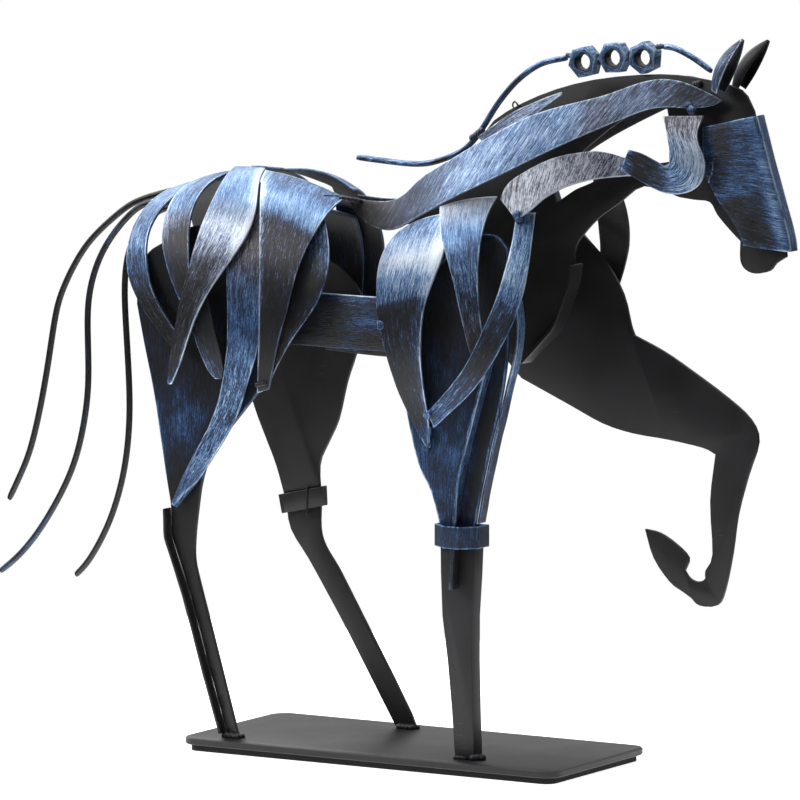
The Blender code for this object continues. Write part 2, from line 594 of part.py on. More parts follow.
# Tail wires from the rump down, each a place beside the middle one and its (x, z) route.
TAIL_PITCH = (WIRE_DIAMETER + 2 * FIT) / SCALE
TAIL_WIRES = [
    (0, [(-97, 191), (-106, 188.7), (-116, 185.3), (-124, 180), (-134, 171.5), (-141, 162.5),
         (-147, 151.5), (-150, 142), (-153, 125.5), (-156.5, 109), (-161, 93), (-166, 82.5),
         (-170.3, 74.5)]), (-1, [(-97, 186), (-104, 186), (-111, 184.8), (-118, 179.5), (-125, 171.5),
                                 (-130, 163), (-133.3, 153), (-134.4, 142), (-134, 124.5),
                                 (-135, 110.5), (-139, 93.5), (-145.5, 79.5), (-155.5, 64.5),
                                 (-164.5, 54.7), (-172.5, 48.5)]), (1, [(-99, 184.5), (-106, 183),
                                                                        (-113, 178.5), (-118, 172),
                                                                        (-121, 164), (-122, 154),
                                                                        (-121.6, 142.5),
                                                                        (-120.6, 127), (-120, 111.5),
                                                                        (-121, 96.5), (-124, 82),
                                                                        (-129.5, 67.5),
                                                                        (-137.5, 54.5), (-143.5, 48.5)]),
]
# Mane nuts: place of the middle one, turn of each, and how far the middle one stands above its neighbours.
NUT_PLACE = 81.2
NUT_TURNS = (0.25, 0.05, 0.45)
MIDDLE_NUT_RISE = 0.5
NUT_REACH = NUT_ACROSS_FLATS / math.sqrt(3) / SCALE
# Mane wires, (x, z) routes. The rear one ends at the first nut and the front one starts at the last.
REAR_MANE_ROUTE = [(-23.4, 205.9), (-12.5, 205.2), (-0.6, 204.6), (7.3, 205.4), (15.1, 208),
                   (21, 210.8), (25.6, 215.4), (29.4, 220.4), (33.4, 226.3), (38.5, 232.4),
                   (44.3, 237.7), (51.1, 241.9), (57, 243.6)]
FRONT_MANE_ROUTE = [(104.5, 249.8), (112, 246.7), (119.5, 242.2)]


def mask_rows():
    """Rows of the face mask, from the right cheek round the nose to the left cheek."""
    rows = []
    for rear_x, rear_z, rear_out, ridge_x, ridge_z in MASK_STATIONS:
        half = ON_CORE + MASK_HALF_WIDTH * SCALE
        rear = Vector((rear_x, 0.0, rear_z)) * SCALE
        ridge = Vector((ridge_x, 0.0, ridge_z)) * SCALE
        shoulder = ridge - Vector((MASK_NOSE_ROUND * SCALE, 0.0, 0.0))
        middle = rear.lerp(ridge, 0.5)
        out = half + (rear_out - 1.0) * SCALE
        tip = half - MASK_NOSE_ROUND * SCALE
        row = []
        for side in (RIGHT, LEFT):
            across = Vector((0.0, side, 0.0))
            panel = [rear + across * out, middle + across * (out + half) / 2,
                     shoulder + across * half, ridge + across * tip]
            row.extend(panel if side == RIGHT else panel[::-1])
        rows.append(row)
    return rows


def shin_rows():
    """Rows of the right foreleg's shin: rear edge, bend, and the end of its turned edge."""
    rows = []
    for z, rear, bend in FORE_SHIN:
        height = z * SCALE + BASE_GAP
        rows.append([Vector((rear * SCALE, -LEG_SPREAD, height)),
                     Vector((bend * SCALE, -LEG_SPREAD, height)),
                     Vector(((bend + FLANGE_LEAD) * SCALE, SHIN_FLANGE - LEG_SPREAD, height))])
    return rows


def part_of_edge(run, lowest, highest):
    """The part of a plate's edge between two drawn heights."""
    line = plate_edge(run)
    kept = [place for place in line if lowest * SCALE < place.z < highest * SCALE]
    ends = []
    for height in (lowest * SCALE, highest * SCALE):
        for a, b in zip(line, line[1:]):
            if min(a.z, b.z) <= height < max(a.z, b.z):
                ends.append(a.lerp(b, (height - a.z) / (b.z - a.z)))
    return sorted([*kept, *ends], key=lambda place: place.z)


def fore_cuff_plan():
    """Middle line of the right foreleg's cuff, drawn tight over the plate, the rib and the shin's bend."""
    clear = FIT + STRAP_SHEET / 2
    low, high = [height * SCALE for height in FORE_CUFF_HEIGHTS]
    shin = [Vector((rear, bend, z)) * SCALE for z, rear, bend in FORE_SHIN]
    shin_bend = max(place.y for place in shin if place.z > low - 2 * STRAP_SHEET)
    face = LEG_FACE + clear
    rib_face = LEG_FACE + FIT + RIB_HEIGHT + clear
    inside = LEG_SPREAD - FRAME_SHEET / 2 - clear
    flange_end = LEG_SPREAD - SHIN_FLANGE - clear
    rear = min(edge_place(SHOULDER_PLATE_RUNS[0], high), shin[0].x) - clear
    flange_front = shin_bend + FLANGE_LEAD * SCALE + FRAME_SHEET / 2
    front = max(edge_place(SHOULDER_PLATE_RUNS[2], high), flange_front) + clear
    rib_x = edge_place(RIB, (low + high) / 2)
    rib_side = FRAME_SHEET + 2 * clear
    step = shin_bend - FRAME_SHEET / 2 - 2 * clear - FIT / 2
    return [(rear, -inside), (rear, -face), (rib_x - rib_side, -rib_face), (rib_x + rib_side, -rib_face),
            (front, -face), (front, -flange_end), (step, -flange_end), (step - 2 * FRAME_SHEET, -inside)]


def hind_cuff_plans():
    """Lower and upper middle line of the left hind leg's cuff, round its plates."""
    # A sloping sheet stands thicker measured along the horse, so it is given a little more room.
    clear = FIT + STRAP_SHEET / 2
    slack = STRAP_SHEET * HIND_CUFF_SLOPE
    inside = LEG_SPREAD - FRAME_SHEET / 2 - clear
    outside = LEG_FACE + clear
    plans = []
    for height, rear_run, front_run in ((HIND_CUFF_HEIGHTS[0], LEFT_SHIN_RUNS[0], LEFT_SHIN_RUNS[2]),
                                        (HIND_CUFF_HEIGHTS[1], LEFT_THIGH_RUNS[0], LEFT_THIGH_RUNS[2])):
        height *= SCALE
        climb = HIND_CUFF_SLOPE * (edge_place(front_run, height) - edge_place(rear_run, height)) / 2
        rear = edge_place(rear_run, height - climb) - clear - slack
        front = edge_place(front_run, height + climb) + clear + slack
        plans.append([(rear, outside), (rear, inside), (front, inside), (front, outside)])
    return plans


def mane_nut_places():
    """Drawn place of each mane nut, standing in a row on the neck's crest."""
    pitch = 2 * NUT_REACH + FIT / SCALE
    places = []
    for i, turn in enumerate(NUT_TURNS):
        x = NUT_PLACE + (i - 1) * pitch
        below = [place.z for place in plate_edge(CREST_RUN) if abs(place.x / SCALE - x) < NUT_REACH]
        rise = MIDDLE_NUT_RISE if i == 1 else 0.0
        places.append((x, max(below) / SCALE + NUT_REACH + FIT / SCALE + rise, turn))
    return places


def build():
    clear_scene()
    black = material("satin black powder coat", (0.012, 0.012, 0.013), 0.45, 0.0)
    blue = material("blue brushed over black", (0.05, 0.12, 0.28), 0.42, 0.5)
    foam = material("black foam rubber", (0.01, 0.01, 0.01), 0.9, 0.0)

    plate_top = PAD_THICKNESS + BASE_GAP + BASE_PLATE_THICKNESS
    round_corner_slab("base_pad", BASE_LENGTH - 2 * PAD_INSET, BASE_WIDTH - 2 * PAD_INSET,
                      BASE_CORNER_RADIUS - PAD_INSET, 0.0, PAD_THICKNESS, foam, 0.0)
    round_corner_slab("base_plate", BASE_LENGTH, BASE_WIDTH, BASE_CORNER_RADIUS, PAD_THICKNESS + BASE_GAP,
                      BASE_PLATE_THICKNESS, black, BASE_EDGE_BEVEL)

    figure = bpy.data.objects.new("figure", None)
    bpy.context.collection.objects.link(figure)
    figure.location.z = plate_top

    cut_plate("neck_and_head_plate", [CREST_RUN, FACE_RUN, LIP_RUN, JAW_RUN, THROAT_RUN, BREAST_RUN],
              FRAME_SHEET, 0.0, black, figure, [NECK_WINDOW])
    hind = cut_plate("right_hind_leg", [under_straps(RUMP, RIGHT_HIND_TOP), *RIGHT_HIND_RUNS], FRAME_SHEET,
                     -LEG_SPREAD, black, figure)
    hind.location.z = BASE_GAP
    cut_plate("left_thigh_plate", [under_straps(RUMP, LEFT_THIGH_TOP), *LEFT_THIGH_RUNS], FRAME_SHEET,
              LEG_SPREAD, black, figure)
    left_shin = cut_plate("left_hind_shin", LEFT_SHIN_RUNS, FRAME_SHEET, LEG_SPREAD, black, figure)
    left_shin.location.z = BASE_GAP
    cut_plate("right_shoulder_plate", [under_straps(SHOULDER, SHOULDER_PLATE_TOP), *SHOULDER_PLATE_RUNS],
              FRAME_SHEET, -LEG_SPREAD, blue, figure)
    cut_plate("left_raised_foreleg", RAISED_LEG_RUNS, FRAME_SHEET, LEG_SPREAD, black, figure)
    solid_sheet("right_fore_shin", shin_rows(), FRAME_SHEET, black, figure)

    fore_cuff = fore_cuff_plan()
    wrapped_cuff("right_fore_cuff", fore_cuff, fore_cuff, [z * SCALE for z in FORE_CUFF_HEIGHTS], 0.0,
                 STRAP_SHEET, blue, figure)
    wrapped_cuff("left_hind_cuff", *hind_cuff_plans(), [z * SCALE for z in HIND_CUFF_HEIGHTS],
                 HIND_CUFF_SLOPE, STRAP_SHEET, black, figure)
    edge_strip("right_foreleg_rib", RIGHT, even_line([Vector((x, 0.0, z)) * SCALE for x, z in RIB], 12),
               LEG_FACE + FIT, LEG_FACE + FIT + RIB_HEIGHT, FRAME_SHEET, blue, figure)
    front_edge = beside_line(part_of_edge(SHOULDER_PLATE_RUNS[2], *FRONT_STRIP_HEIGHTS), -BY_EDGE)
    edge_strip("right_foreleg_front_strip", RIGHT, bowed_out(front_edge, FRONT_STRIP_BOW, *BOW_HEIGHTS),
               LEG_SPREAD - SHIN_FLANGE, LEG_SPREAD, STRAP_SHEET, blue, figure)
    hock_edge = beside_line(part_of_edge(RIGHT_HIND_RUNS[1], *HIND_STRIP_HEIGHTS), BY_EDGE)
    hind_strip = edge_strip("right_hind_shin_strip", RIGHT, hock_edge, LEG_SPREAD, LEG_SPREAD + RIB_HEIGHT,
                            STRAP_SHEET, black, figure)
    hind_strip.location.z = BASE_GAP

    for name, (first, second, layers, tip) in RUMP_STRAPS.items():
        across = 4 if name == "rump_strap_4" else 2
        body_strap("right_" + name, RIGHT, RUMP, first, second, layers, blue, figure, tip, across=across)
        if name != "rump_strap_7":
            first, second, layers, tip = LEFT_RUMP_STRAPS.get(name, (first, second, layers, tip))
            layers = (layers[0] + LEFT_TOP_LAYER, layers[1])
            form = LEFT_LOIN if name == "rump_strap_4" else RUMP
            body_strap("left_" + name, LEFT, form, first, second, layers, black, figure, tip, across=across)
    for name, (first, second, layers, tip) in SHOULDER_STRAPS.items():
        body_strap("right_" + name, RIGHT, SHOULDER, first, second, layers, blue, figure, tip)
        if name != "shoulder_strap_3":
            first, second, layers, tip = LEFT_SHOULDER_STRAPS.get(name, (first, second, layers, tip))
            body_strap("left_" + name, LEFT, SHOULDER, first, second, layers, black, figure, tip)

    core_strap("right_crest_strap", RIGHT, *CREST_STRAP, blue, figure, stations=21)
    core_strap("left_crest_strap", LEFT, *CREST_STRAP, black, figure, stations=21)
    core_strap("withers_strap", RIGHT, *WITHERS_STRAP, blue, figure, stations=8)
    core_strap("lower_neck_strap", RIGHT, *LOWER_NECK_STRAP, blue, figure, stations=12)
    core_strap("right_cheek_strap", RIGHT, *CHEEK_STRAP, blue, figure, stations=14)
    core_strap("left_cheek_strap", LEFT, *LEFT_CHEEK_STRAP, black, figure, stations=8)
    core_strap("left_neck_strap", LEFT, *LEFT_NECK_STRAP, black, figure, stations=16)

    solid_sheet("face_mask", mask_rows(), STRAP_SHEET, blue, figure)
    rolled_ear("right_ear", RIGHT, (125.5, 4.5, 236), (134.5, 4.2, 254), EAR_OPENING, blue, figure)
    rolled_ear("left_ear", LEFT, (127, 4.4, 236.3), (138, 4.5, 253), EAR_OPENING, black, figure)

    belly_out = LEG_SPREAD - FRAME_SHEET / 2 - FIT - STRAP_SHEET / 2
    for name, side, places, width in (("right_belly_strap", RIGHT, BELLY_RIGHT, BELLY_RIGHT_WIDTH),
                                      ("left_belly_strap", LEFT, BELLY_LEFT, BELLY_LEFT_WIDTH)):
        line = even_line([Vector((x, 0.0, z)) * SCALE for x, z in places], 6)
        up = Vector((0.0, 0.0, width * SCALE))
        aside = Vector((0.0, side * belly_out, 0.0))
        rows = [[place + aside, place + aside + up] for place in line]
        solid_sheet(name, rows, STRAP_SHEET, blue if side == RIGHT else black, figure)
    throat = part_of_edge(THROAT_RUN, THROAT_RUN[-1][1], CHEST_STRAP_TOP)
    chest = beside_line(throat, -BY_EDGE)
    half = Vector((0.0, CHEST_STRAP_WIDTH / 2, 0.0))
    chest_rows = [[place - half, place + half] for place in chest]
    solid_sheet("chest_strap", chest_rows, STRAP_SHEET, black, figure)

    nuts = mane_nut_places()
    clear_of_nut = NUT_REACH + (FIT + WIRE_DIAMETER / 2) / SCALE
    rear_end = (nuts[0][0] - clear_of_nut, nuts[0][1] + WIRE_DIAMETER / 2 / SCALE)
    front_end = (nuts[2][0] + clear_of_nut, nuts[2][1] + 0.7 * NUT_REACH)
    for name, route in (("rear_mane_wire", [*REAR_MANE_ROUTE, rear_end]),
                        ("front_mane_wire", [front_end, *FRONT_MANE_ROUTE])):
        wire(name, [(x, 0, z) for x, z in route], WIRE_DIAMETER, blue, figure)
    for i, (step, route) in enumerate(TAIL_WIRES):
        wire(f"tail_wire_{i + 1}", [(x, step * TAIL_PITCH, z) for x, z in route], WIRE_DIAMETER,
             black, figure)
    for i, (x, z, turn) in enumerate(nuts):
        hexagon_nut(f"mane_nut_{i + 1}", x, z, turn, blue, figure)


build()
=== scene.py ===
"""Dresses the frame of a walking horse statue made of cut and bent steel sheet, wire and nuts.

The sheet pieces are refined copies of the frame's solids, with broken rims and brushed paint.
All sizes are in metres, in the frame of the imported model.
"""

import math

import bmesh
import bpy
import numpy as np
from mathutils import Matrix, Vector, noise
import json

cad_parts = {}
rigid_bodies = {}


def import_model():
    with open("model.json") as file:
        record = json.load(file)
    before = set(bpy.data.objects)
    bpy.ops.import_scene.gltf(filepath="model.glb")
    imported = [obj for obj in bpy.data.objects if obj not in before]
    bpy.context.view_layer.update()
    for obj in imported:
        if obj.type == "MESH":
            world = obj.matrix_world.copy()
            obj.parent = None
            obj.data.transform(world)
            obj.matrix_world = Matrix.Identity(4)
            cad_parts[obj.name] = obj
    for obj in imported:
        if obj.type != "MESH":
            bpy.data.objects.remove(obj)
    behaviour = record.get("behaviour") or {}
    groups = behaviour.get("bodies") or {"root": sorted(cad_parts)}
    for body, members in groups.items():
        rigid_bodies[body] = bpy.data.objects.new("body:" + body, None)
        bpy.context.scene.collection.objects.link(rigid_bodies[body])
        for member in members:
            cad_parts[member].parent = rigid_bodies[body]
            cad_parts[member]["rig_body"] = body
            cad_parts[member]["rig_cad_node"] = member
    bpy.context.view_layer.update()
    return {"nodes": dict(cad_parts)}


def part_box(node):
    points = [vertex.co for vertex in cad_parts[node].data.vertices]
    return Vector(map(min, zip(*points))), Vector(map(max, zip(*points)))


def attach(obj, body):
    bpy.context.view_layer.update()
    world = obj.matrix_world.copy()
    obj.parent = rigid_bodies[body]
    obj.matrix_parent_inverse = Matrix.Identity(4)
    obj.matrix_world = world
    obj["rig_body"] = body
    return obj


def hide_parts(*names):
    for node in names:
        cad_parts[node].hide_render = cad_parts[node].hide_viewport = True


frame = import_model()

bl_info = {
    "name": "Walking Horse Statue",
    "version": (1, 0, 0),
    "blender": (4, 5, 0),
    "location": "3D View > Sidebar > Horse",
    "description": "Dresses the frame of a walking horse made of cut and bent steel sheet",
    "category": "Object",
}

MM = 0.001
# Corners nearer than MERGE are one. Triangles that bend less than QUAD_BEND are paired, and so are
# a plate's faces below FLAT_BEND. An edge sharper than SHARP ends a sheet's broad side.
MERGE = 0.01 * MM
QUAD_BEND = math.radians(55)
FLAT_BEND = math.radians(0.5)
SHARP = math.radians(40)
SMOOTH_ANGLE = math.radians(38)
# Where the strokes on a strap start, and the ways that its outer side can face.
DOWN_FROM_TOP = (0, 0, 1)
BACK_FROM_HEAD = (1, 0, 0)
NEAR_SIDE = (0, -1, 0)
FAR_SIDE = (0, 1, 0)
TOWARDS_TAIL = (-1, 0, 0)


# ---------------------------------------------------------------- small helpers

def linear(code):
    """Turns an sRGB hex colour into Blender's linear red, green and blue."""
    parts = [int(code[i:i + 2], 16) / 255 for i in (1, 3, 5)]
    return tuple(c / 12.92 if c <= 0.04045 else ((c + 0.055) / 1.055) ** 2.4 for c in parts)


def add_node(tree, kind, inputs=(), **settings):
    """Adds one shader node with its settings, and sets or links each of its inputs.

    Inputs go by name or number. Map Range has the value at 0, the range it comes from at 1 and 2
    and the range it goes to at 3 and 4. Mix has its share at 0 and its colours at 6 and 7.
    """
    node = tree.nodes.new("ShaderNode" + kind)
    for key, value in settings.items():
        setattr(node, key, value)
    for key, value in dict(inputs).items():
        if isinstance(value, bpy.types.Node):
            value = value.outputs[0]
        if isinstance(value, bpy.types.NodeSocket):
            tree.links.new(value, node.inputs[key])
        else:
            node.inputs[key].default_value = value
    return node


def pick(piece):
    """Selects one piece alone and makes it the active one."""
    bpy.ops.object.select_all(action="DESELECT")
    piece.select_set(True)
    bpy.context.view_layer.objects.active = piece
    return piece


def start_edit(piece, kind="EDGE", action="DESELECT"):
    """Opens a piece for editing with nothing selected, or all of it."""
    pick(piece)
    bpy.ops.object.mode_set(mode="EDIT")
    bpy.ops.mesh.select_mode(type=kind)
    bpy.ops.mesh.select_all(action=action)


def end_edit():
    """Goes back to object mode."""
    bpy.ops.object.mode_set(mode="OBJECT")


def apply_modifier(piece, kind, **settings):
    """Adds one modifier and applies it."""
    pick(piece)
    modifier = piece.modifiers.new(kind.title(), kind)
    for key, value in settings.items():
        setattr(modifier, key, value)
    bpy.ops.object.modifier_apply(modifier=modifier.name)


def subdivide_smooth(piece, levels):
    """Refines a piece with subdivision surfaces and applies them."""
    apply_modifier(piece, "SUBSURF", levels=levels, render_levels=levels)


def merged_copy(node):
    """Copies a frame node, merges its loose triangles and joins them into quads."""
    pick(frame["nodes"][node])
    bpy.ops.object.duplicate()
    piece = bpy.context.object
    piece.name = node + "_finished"
    piece.data.name = piece.name
    piece.parent = None
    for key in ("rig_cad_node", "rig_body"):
        if key in piece:
            del piece[key]
    piece.data.materials.clear()
    start_edit(piece, "FACE", "SELECT")
    bpy.ops.mesh.remove_doubles(threshold=MERGE)
    bpy.ops.mesh.tris_convert_to_quads(
        face_threshold=QUAD_BEND, shape_threshold=math.pi, topology_influence=1.5)
    end_edit()
    return piece


def break_edges(piece, width, segments=2, sharp=SHARP):
    """Rounds every sharp edge of a piece a little, as a deburred sheet has them."""
    start_edit(piece)
    bpy.ops.mesh.edges_select_sharp(sharpness=sharp)
    bpy.ops.mesh.bevel(offset=width, segments=segments, profile=0.5, clamp_overlap=True)
    end_edit()


def place_new(name):
    """Moves the place and turn of the primitive just added into its mesh, and names it."""
    piece = bpy.context.object
    bpy.ops.object.transform_apply(location=True, rotation=True, scale=True)
    piece.name = piece.data.name = name
    return piece


def hand_in(piece, node, maker):
    """Gives a finished piece its material and its body, smooths its shading and hides its node."""
    piece.data.materials.clear()
    piece.data.materials.append(finish_of(maker))
    pick(piece)
    bpy.ops.object.shade_smooth_by_angle(angle=SMOOTH_ANGLE)
    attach(piece, "root")
    if node:
        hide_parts(node)


# ---------------------------------------------------------------- where the brush travels

# The width that a strap's pointed end is taken to have, how much weaker a rim's paler line is on
# the inner side, and how far apart the unevenness of two sheets is taken from the noise.
LEAST_WIDTH = 0.1 * MM
INNER_RIM_LOSS = 0.6
NOISE_STEP = 7.3
# What the paint reads at each corner where nothing else is said: the load of blue, the painted
# sheen (the lights reflected in the coat as brownish grey), metres to the nearest rim, how strong
# the paler line there is, and how far the streaks fade.
PLAIN_PAINT = {"blue": 0.0, "warm": 0.0, "rim": 1.0, "rim_blue": 0.0, "calm": 0.0}


def sheet_sides(bm):
    """The two broad sides of a sheet piece, each a set of faces with no sharp edge between them."""
    left = set(bm.faces)
    found = []
    while left:
        first = left.pop()
        group = {first}
        stack = [first]
        while stack:
            for edge in stack.pop().edges:
                if len(edge.link_faces) != 2 or edge.calc_face_angle() > SHARP:
                    continue
                for face in edge.link_faces:
                    if face not in group:
                        group.add(face)
                        stack.append(face)
                        left.discard(face)
        found.append(group)
    found.sort(key=lambda g: -sum(f.calc_area() for f in g))
    return found[:2]


def walked_rows(side):
    """Walks one side of a strap face by face and returns its corners as rows across the strap."""
    count = {}
    for face in side:
        for vert in face.verts:
            count[vert] = count.get(vert, 0) + 1
    starts = [(v, f) for v, n in count.items() if n == 1
              for f in v.link_faces if f in side and len(f.verts) == 4]
    if not starts:
        return None
    corner, first = min(starts, key=lambda pair: pair[0].index)
    ring = list(first.verts)
    turn = ring.index(corner)
    ring = ring[turn:] + ring[:turn]
    place = dict(zip(ring, ((0, 0), (1, 0), (1, 1), (0, 1))))
    done = {first}
    stack = [first]
    while stack:
        face = stack.pop()
        if len(face.verts) != 4:
            continue
        ring = list(face.verts)
        for k in range(4):
            a, b = ring[k], ring[(k + 1) % 4]
            behind_a, behind_b = ring[k - 1], ring[(k + 2) % 4]
            step_a = [2 * place[a][n] - place[behind_a][n] for n in (0, 1)]
            step_b = [2 * place[b][n] - place[behind_b][n] for n in (0, 1)]
            edge = next(e for e in face.edges if a in e.verts and b in e.verts)
            for other in edge.link_faces:
                if other in done or other not in side:
                    continue
                rest = [v for v in other.verts if v not in (a, b)]
                if len(rest) == 1:
                    place[rest[0]] = tuple((p + q) / 2 for p, q in zip(step_a, step_b))
                else:
                    next_a = next(v for v in rest
                                  if any(v in e.verts for e in a.link_edges if e in other.edges))
                    next_b = rest[0] if rest[1] is next_a else rest[1]
                    place[next_a] = tuple(step_a)
                    place[next_b] = tuple(step_b)
                done.add(other)
                stack.append(other)
    if len(place) < len(count):
        return None
    return max((rows_by(place, axis) for axis in (0, 1)), key=lambda rows: sum(row_steps(rows)))


def row_steps(rows):
    """How far it is from the middle of each row to the middle of the next."""
    middles = [sum((v.co for v in row), Vector()) / len(row) for row in rows]
    return [(b - a).length for a, b in zip(middles, middles[1:])]


def rows_by(place, axis):
    """Sorts walked corners into rows that share the step along one axis."""
    rows = {}
    for vert, steps in place.items():
        rows.setdefault(steps[axis], []).append((steps[1 - axis], vert.index, vert))
    return [[vert for _, _, vert in sorted(rows[key])] for key in sorted(rows)]


def faced_rows(rows, start):
    """Turns rows so that they run away from start, and each from the tail or from below."""
    across = Vector((1, 0, 0)) if start[2] else Vector((0, 0, 1))
    if (rows[0][0].co - rows[-1][0].co).dot(Vector(start)) < 0:
        rows = rows[::-1]
    if sum((row[-1].co - row[0].co).dot(across) for row in rows) < 0:
        rows = [row[::-1] for row in rows]
    return rows


def lay_brush(piece, start, outward, angle):
    """Writes where each corner of a strap lies along and across it, for the brushed paint.

    brush holds metres along and across, turned by the angle of the strokes, and the side.
    span holds the share along, the share across and the width in metres.
    inner is 1 on the side that faces away from outward, or inwards where outward is None.
    """
    bm = bmesh.new()
    bm.from_mesh(piece.data)
    bm.verts.index_update()
    brush = bm.verts.layers.float_vector.new("brush")
    span = bm.verts.layers.float_vector.new("span")
    inner = bm.verts.layers.float.new("inner")
    centre = sum((v.co for v in bm.verts), Vector()) / len(bm.verts)
    cos, sin = math.cos(angle), math.sin(angle)
    total = 0.0
    lost = []
    for side in sheet_sides(bm):
        away = sum(f.calc_area() * f.normal.dot(Vector(outward or f.calc_center_median() - centre))
                   for f in side)
        hidden = 0.0 if away > 0 else 1.0
        rows = walked_rows(side)
        if rows is None:
            lost += [(vert, hidden) for face in side for vert in face.verts]
            continue
        rows = faced_rows(rows, start)
        steps = row_steps(rows)
        total = sum(steps)
        for k, row in enumerate(rows):
            u = sum(steps[:k])
            offsets = [0.0]
            for a, b in zip(row, row[1:]):
                offsets.append(offsets[-1] + (b.co - a.co).length)
            width = max(offsets[-1], LEAST_WIDTH)
            for vert, offset in zip(row, offsets):
                v = offset - width / 2
                vert[brush] = Vector((u * cos + v * sin, v * cos - u * sin, hidden))
                vert[span] = Vector((u / total, offset / width, width))
                vert[inner] = hidden
    walked = [vert for vert in bm.verts if vert[span].z > 0]
    if not walked:
        bm.free()
        raise RuntimeError(f"{piece.name}: its corners could not be walked as rows")
    for vert, hidden in lost:
        like = min(walked, key=lambda v: (v.co - vert.co).length)
        vert[brush] = Vector((like[brush].x, like[brush].y, hidden))
        vert[span] = like[span]
        vert[inner] = hidden
    bm.to_mesh(piece.data)
    bm.free()
    return total


# ---------------------------------------------------------------- what the paint reads

def read(rows, name, size=3):
    """Reads one property of all rows of a mesh's data into an array."""
    values = np.zeros(len(rows) * size, np.float32)
    rows.foreach_get(name, values)
    return values.reshape(-1, size) if size > 1 else values


def corner_places(piece):
    """All corners of a piece as rows of x, y and z."""
    return read(piece.data.vertices, "co")


def numbers_of(piece, name):
    """Reads the number that each corner of a piece has under a name."""
    return read(piece.data.attributes[name].data, "value", 1)


def vectors_of(piece, name):
    """Reads the vector that each corner of a piece has under a name."""
    return read(piece.data.attributes[name].data, "vector")


def write_brush(piece, along, across, side=0.0):
    """Writes how far each corner lies along and across the strokes of the brush, and its side."""
    attribute = piece.data.attributes.new("brush", "FLOAT_VECTOR", "POINT")
    travel = np.stack([along, across, np.full(len(along), side)], 1)
    attribute.data.foreach_set("vector", travel.astype(np.float32).ravel())


def write_paint(piece, **amounts):
    """Writes how each corner of a piece is painted, from one amount for all or one for each."""
    for name, plain in PLAIN_PAINT.items():
        attribute = piece.data.attributes.new(name, "FLOAT", "POINT")
        values = np.full(len(piece.data.vertices), amounts.get(name, plain), np.float32)
        attribute.data.foreach_set("value", values)


def profile(coat, key, share):
    """Reads one of a coat's profiles at each share. A profile that isn't there is zero."""
    return np.interp(share, *zip(*coat.get(key, ((0, 0), (1, 0)))))


def blots_at(places, coat):
    """How much a coat's blots, ellipses of paint seen from the side, add at each place."""
    added = np.zeros(len(places))
    for x, z, wide, high, lean, amount in coat.get("blots", ()):
        dx = places[:, 0] / MM - x
        dz = places[:, 2] / MM - z
        c, s = math.cos(math.radians(lean)), math.sin(math.radians(lean))
        far = ((dx * c + dz * s) / wide) ** 2 + ((dz * c - dx * s) / high) ** 2
        added += amount * np.exp(-far)
    return added


def lay_paint(piece, length, coat):
    """Paints a strap with its coat, by where each corner lies along and across it."""
    t, s, width = vectors_of(piece, "span").T
    inner = numbers_of(piece, "inner")
    blue = profile(coat, "blue", t) + coat.get("lean", 0) * (s - 0.5) + profile(coat, "across", s)
    blue += blots_at(corner_places(piece), coat)
    first, second = coat.get("rims", (1, 1))
    write_paint(piece, blue=blue * (1 - inner), warm=profile(coat, "warm", t) * (1 - inner),
                rim=np.minimum(np.minimum(s, 1 - s) * width, np.minimum(t, 1 - t) * length),
                rim_blue=np.where(s < 0.5, first, second) * (1 - INNER_RIM_LOSS * inner),
                calm=profile(coat, "calm", t))


def roughen(piece, depth, size, seed):
    """Moves a sheet's corners a little along its thickness, as hand bending leaves it."""
    places = corner_places(piece)
    shift = Vector((seed * NOISE_STEP, 0, 0))
    push = np.array([noise.noise(Vector(place) / size + shift) for place in places]) * depth
    push *= 1 - 2 * numbers_of(piece, "inner")
    places += read(piece.data.vertices, "normal") * push[:, None]
    piece.data.vertices.foreach_set("co", places.astype(np.float32).ravel())
    piece.data.update()


# ---------------------------------------------------------------- finishes

# Settings of a Map Range node that eases in and out of its range.
SOFTLY = {"interpolation_type": "SMOOTHSTEP"}


def new_tree(name):
    """An empty material and its node tree."""
    material = bpy.data.materials.new(name)
    material.use_nodes = True
    material.node_tree.nodes.clear()
    return material, material.node_tree


# The patterns in the black coat: their size in mm each way, their shift, detail and roughness.
COAT_PATTERNS = (
    ("peel", (0.7, 0.7, 0.7), (0, 0, 0), 2, 0.5),
    ("cloud", (18, 18, 18), (0, 0, 0), 3, 0.6),
    ("scuff_line", (7, 2, 0.5), (3, 1, 7), 2, 0.6),
    ("scuff_zone", (22, 22, 22), (9, 4, 2), 1, 0.5),
)
# The marks that come from them: the pattern's value where a mark starts and where it is full, and
# how strong it is there.
COAT_MARKS = (
    ("thin_coat", "cloud", 0.30, 0.75, 1.0),
    ("line", "scuff_line", 0.64, 0.74, 1.0),
    ("zone", "scuff_zone", 0.56, 0.70, 0.35),
)


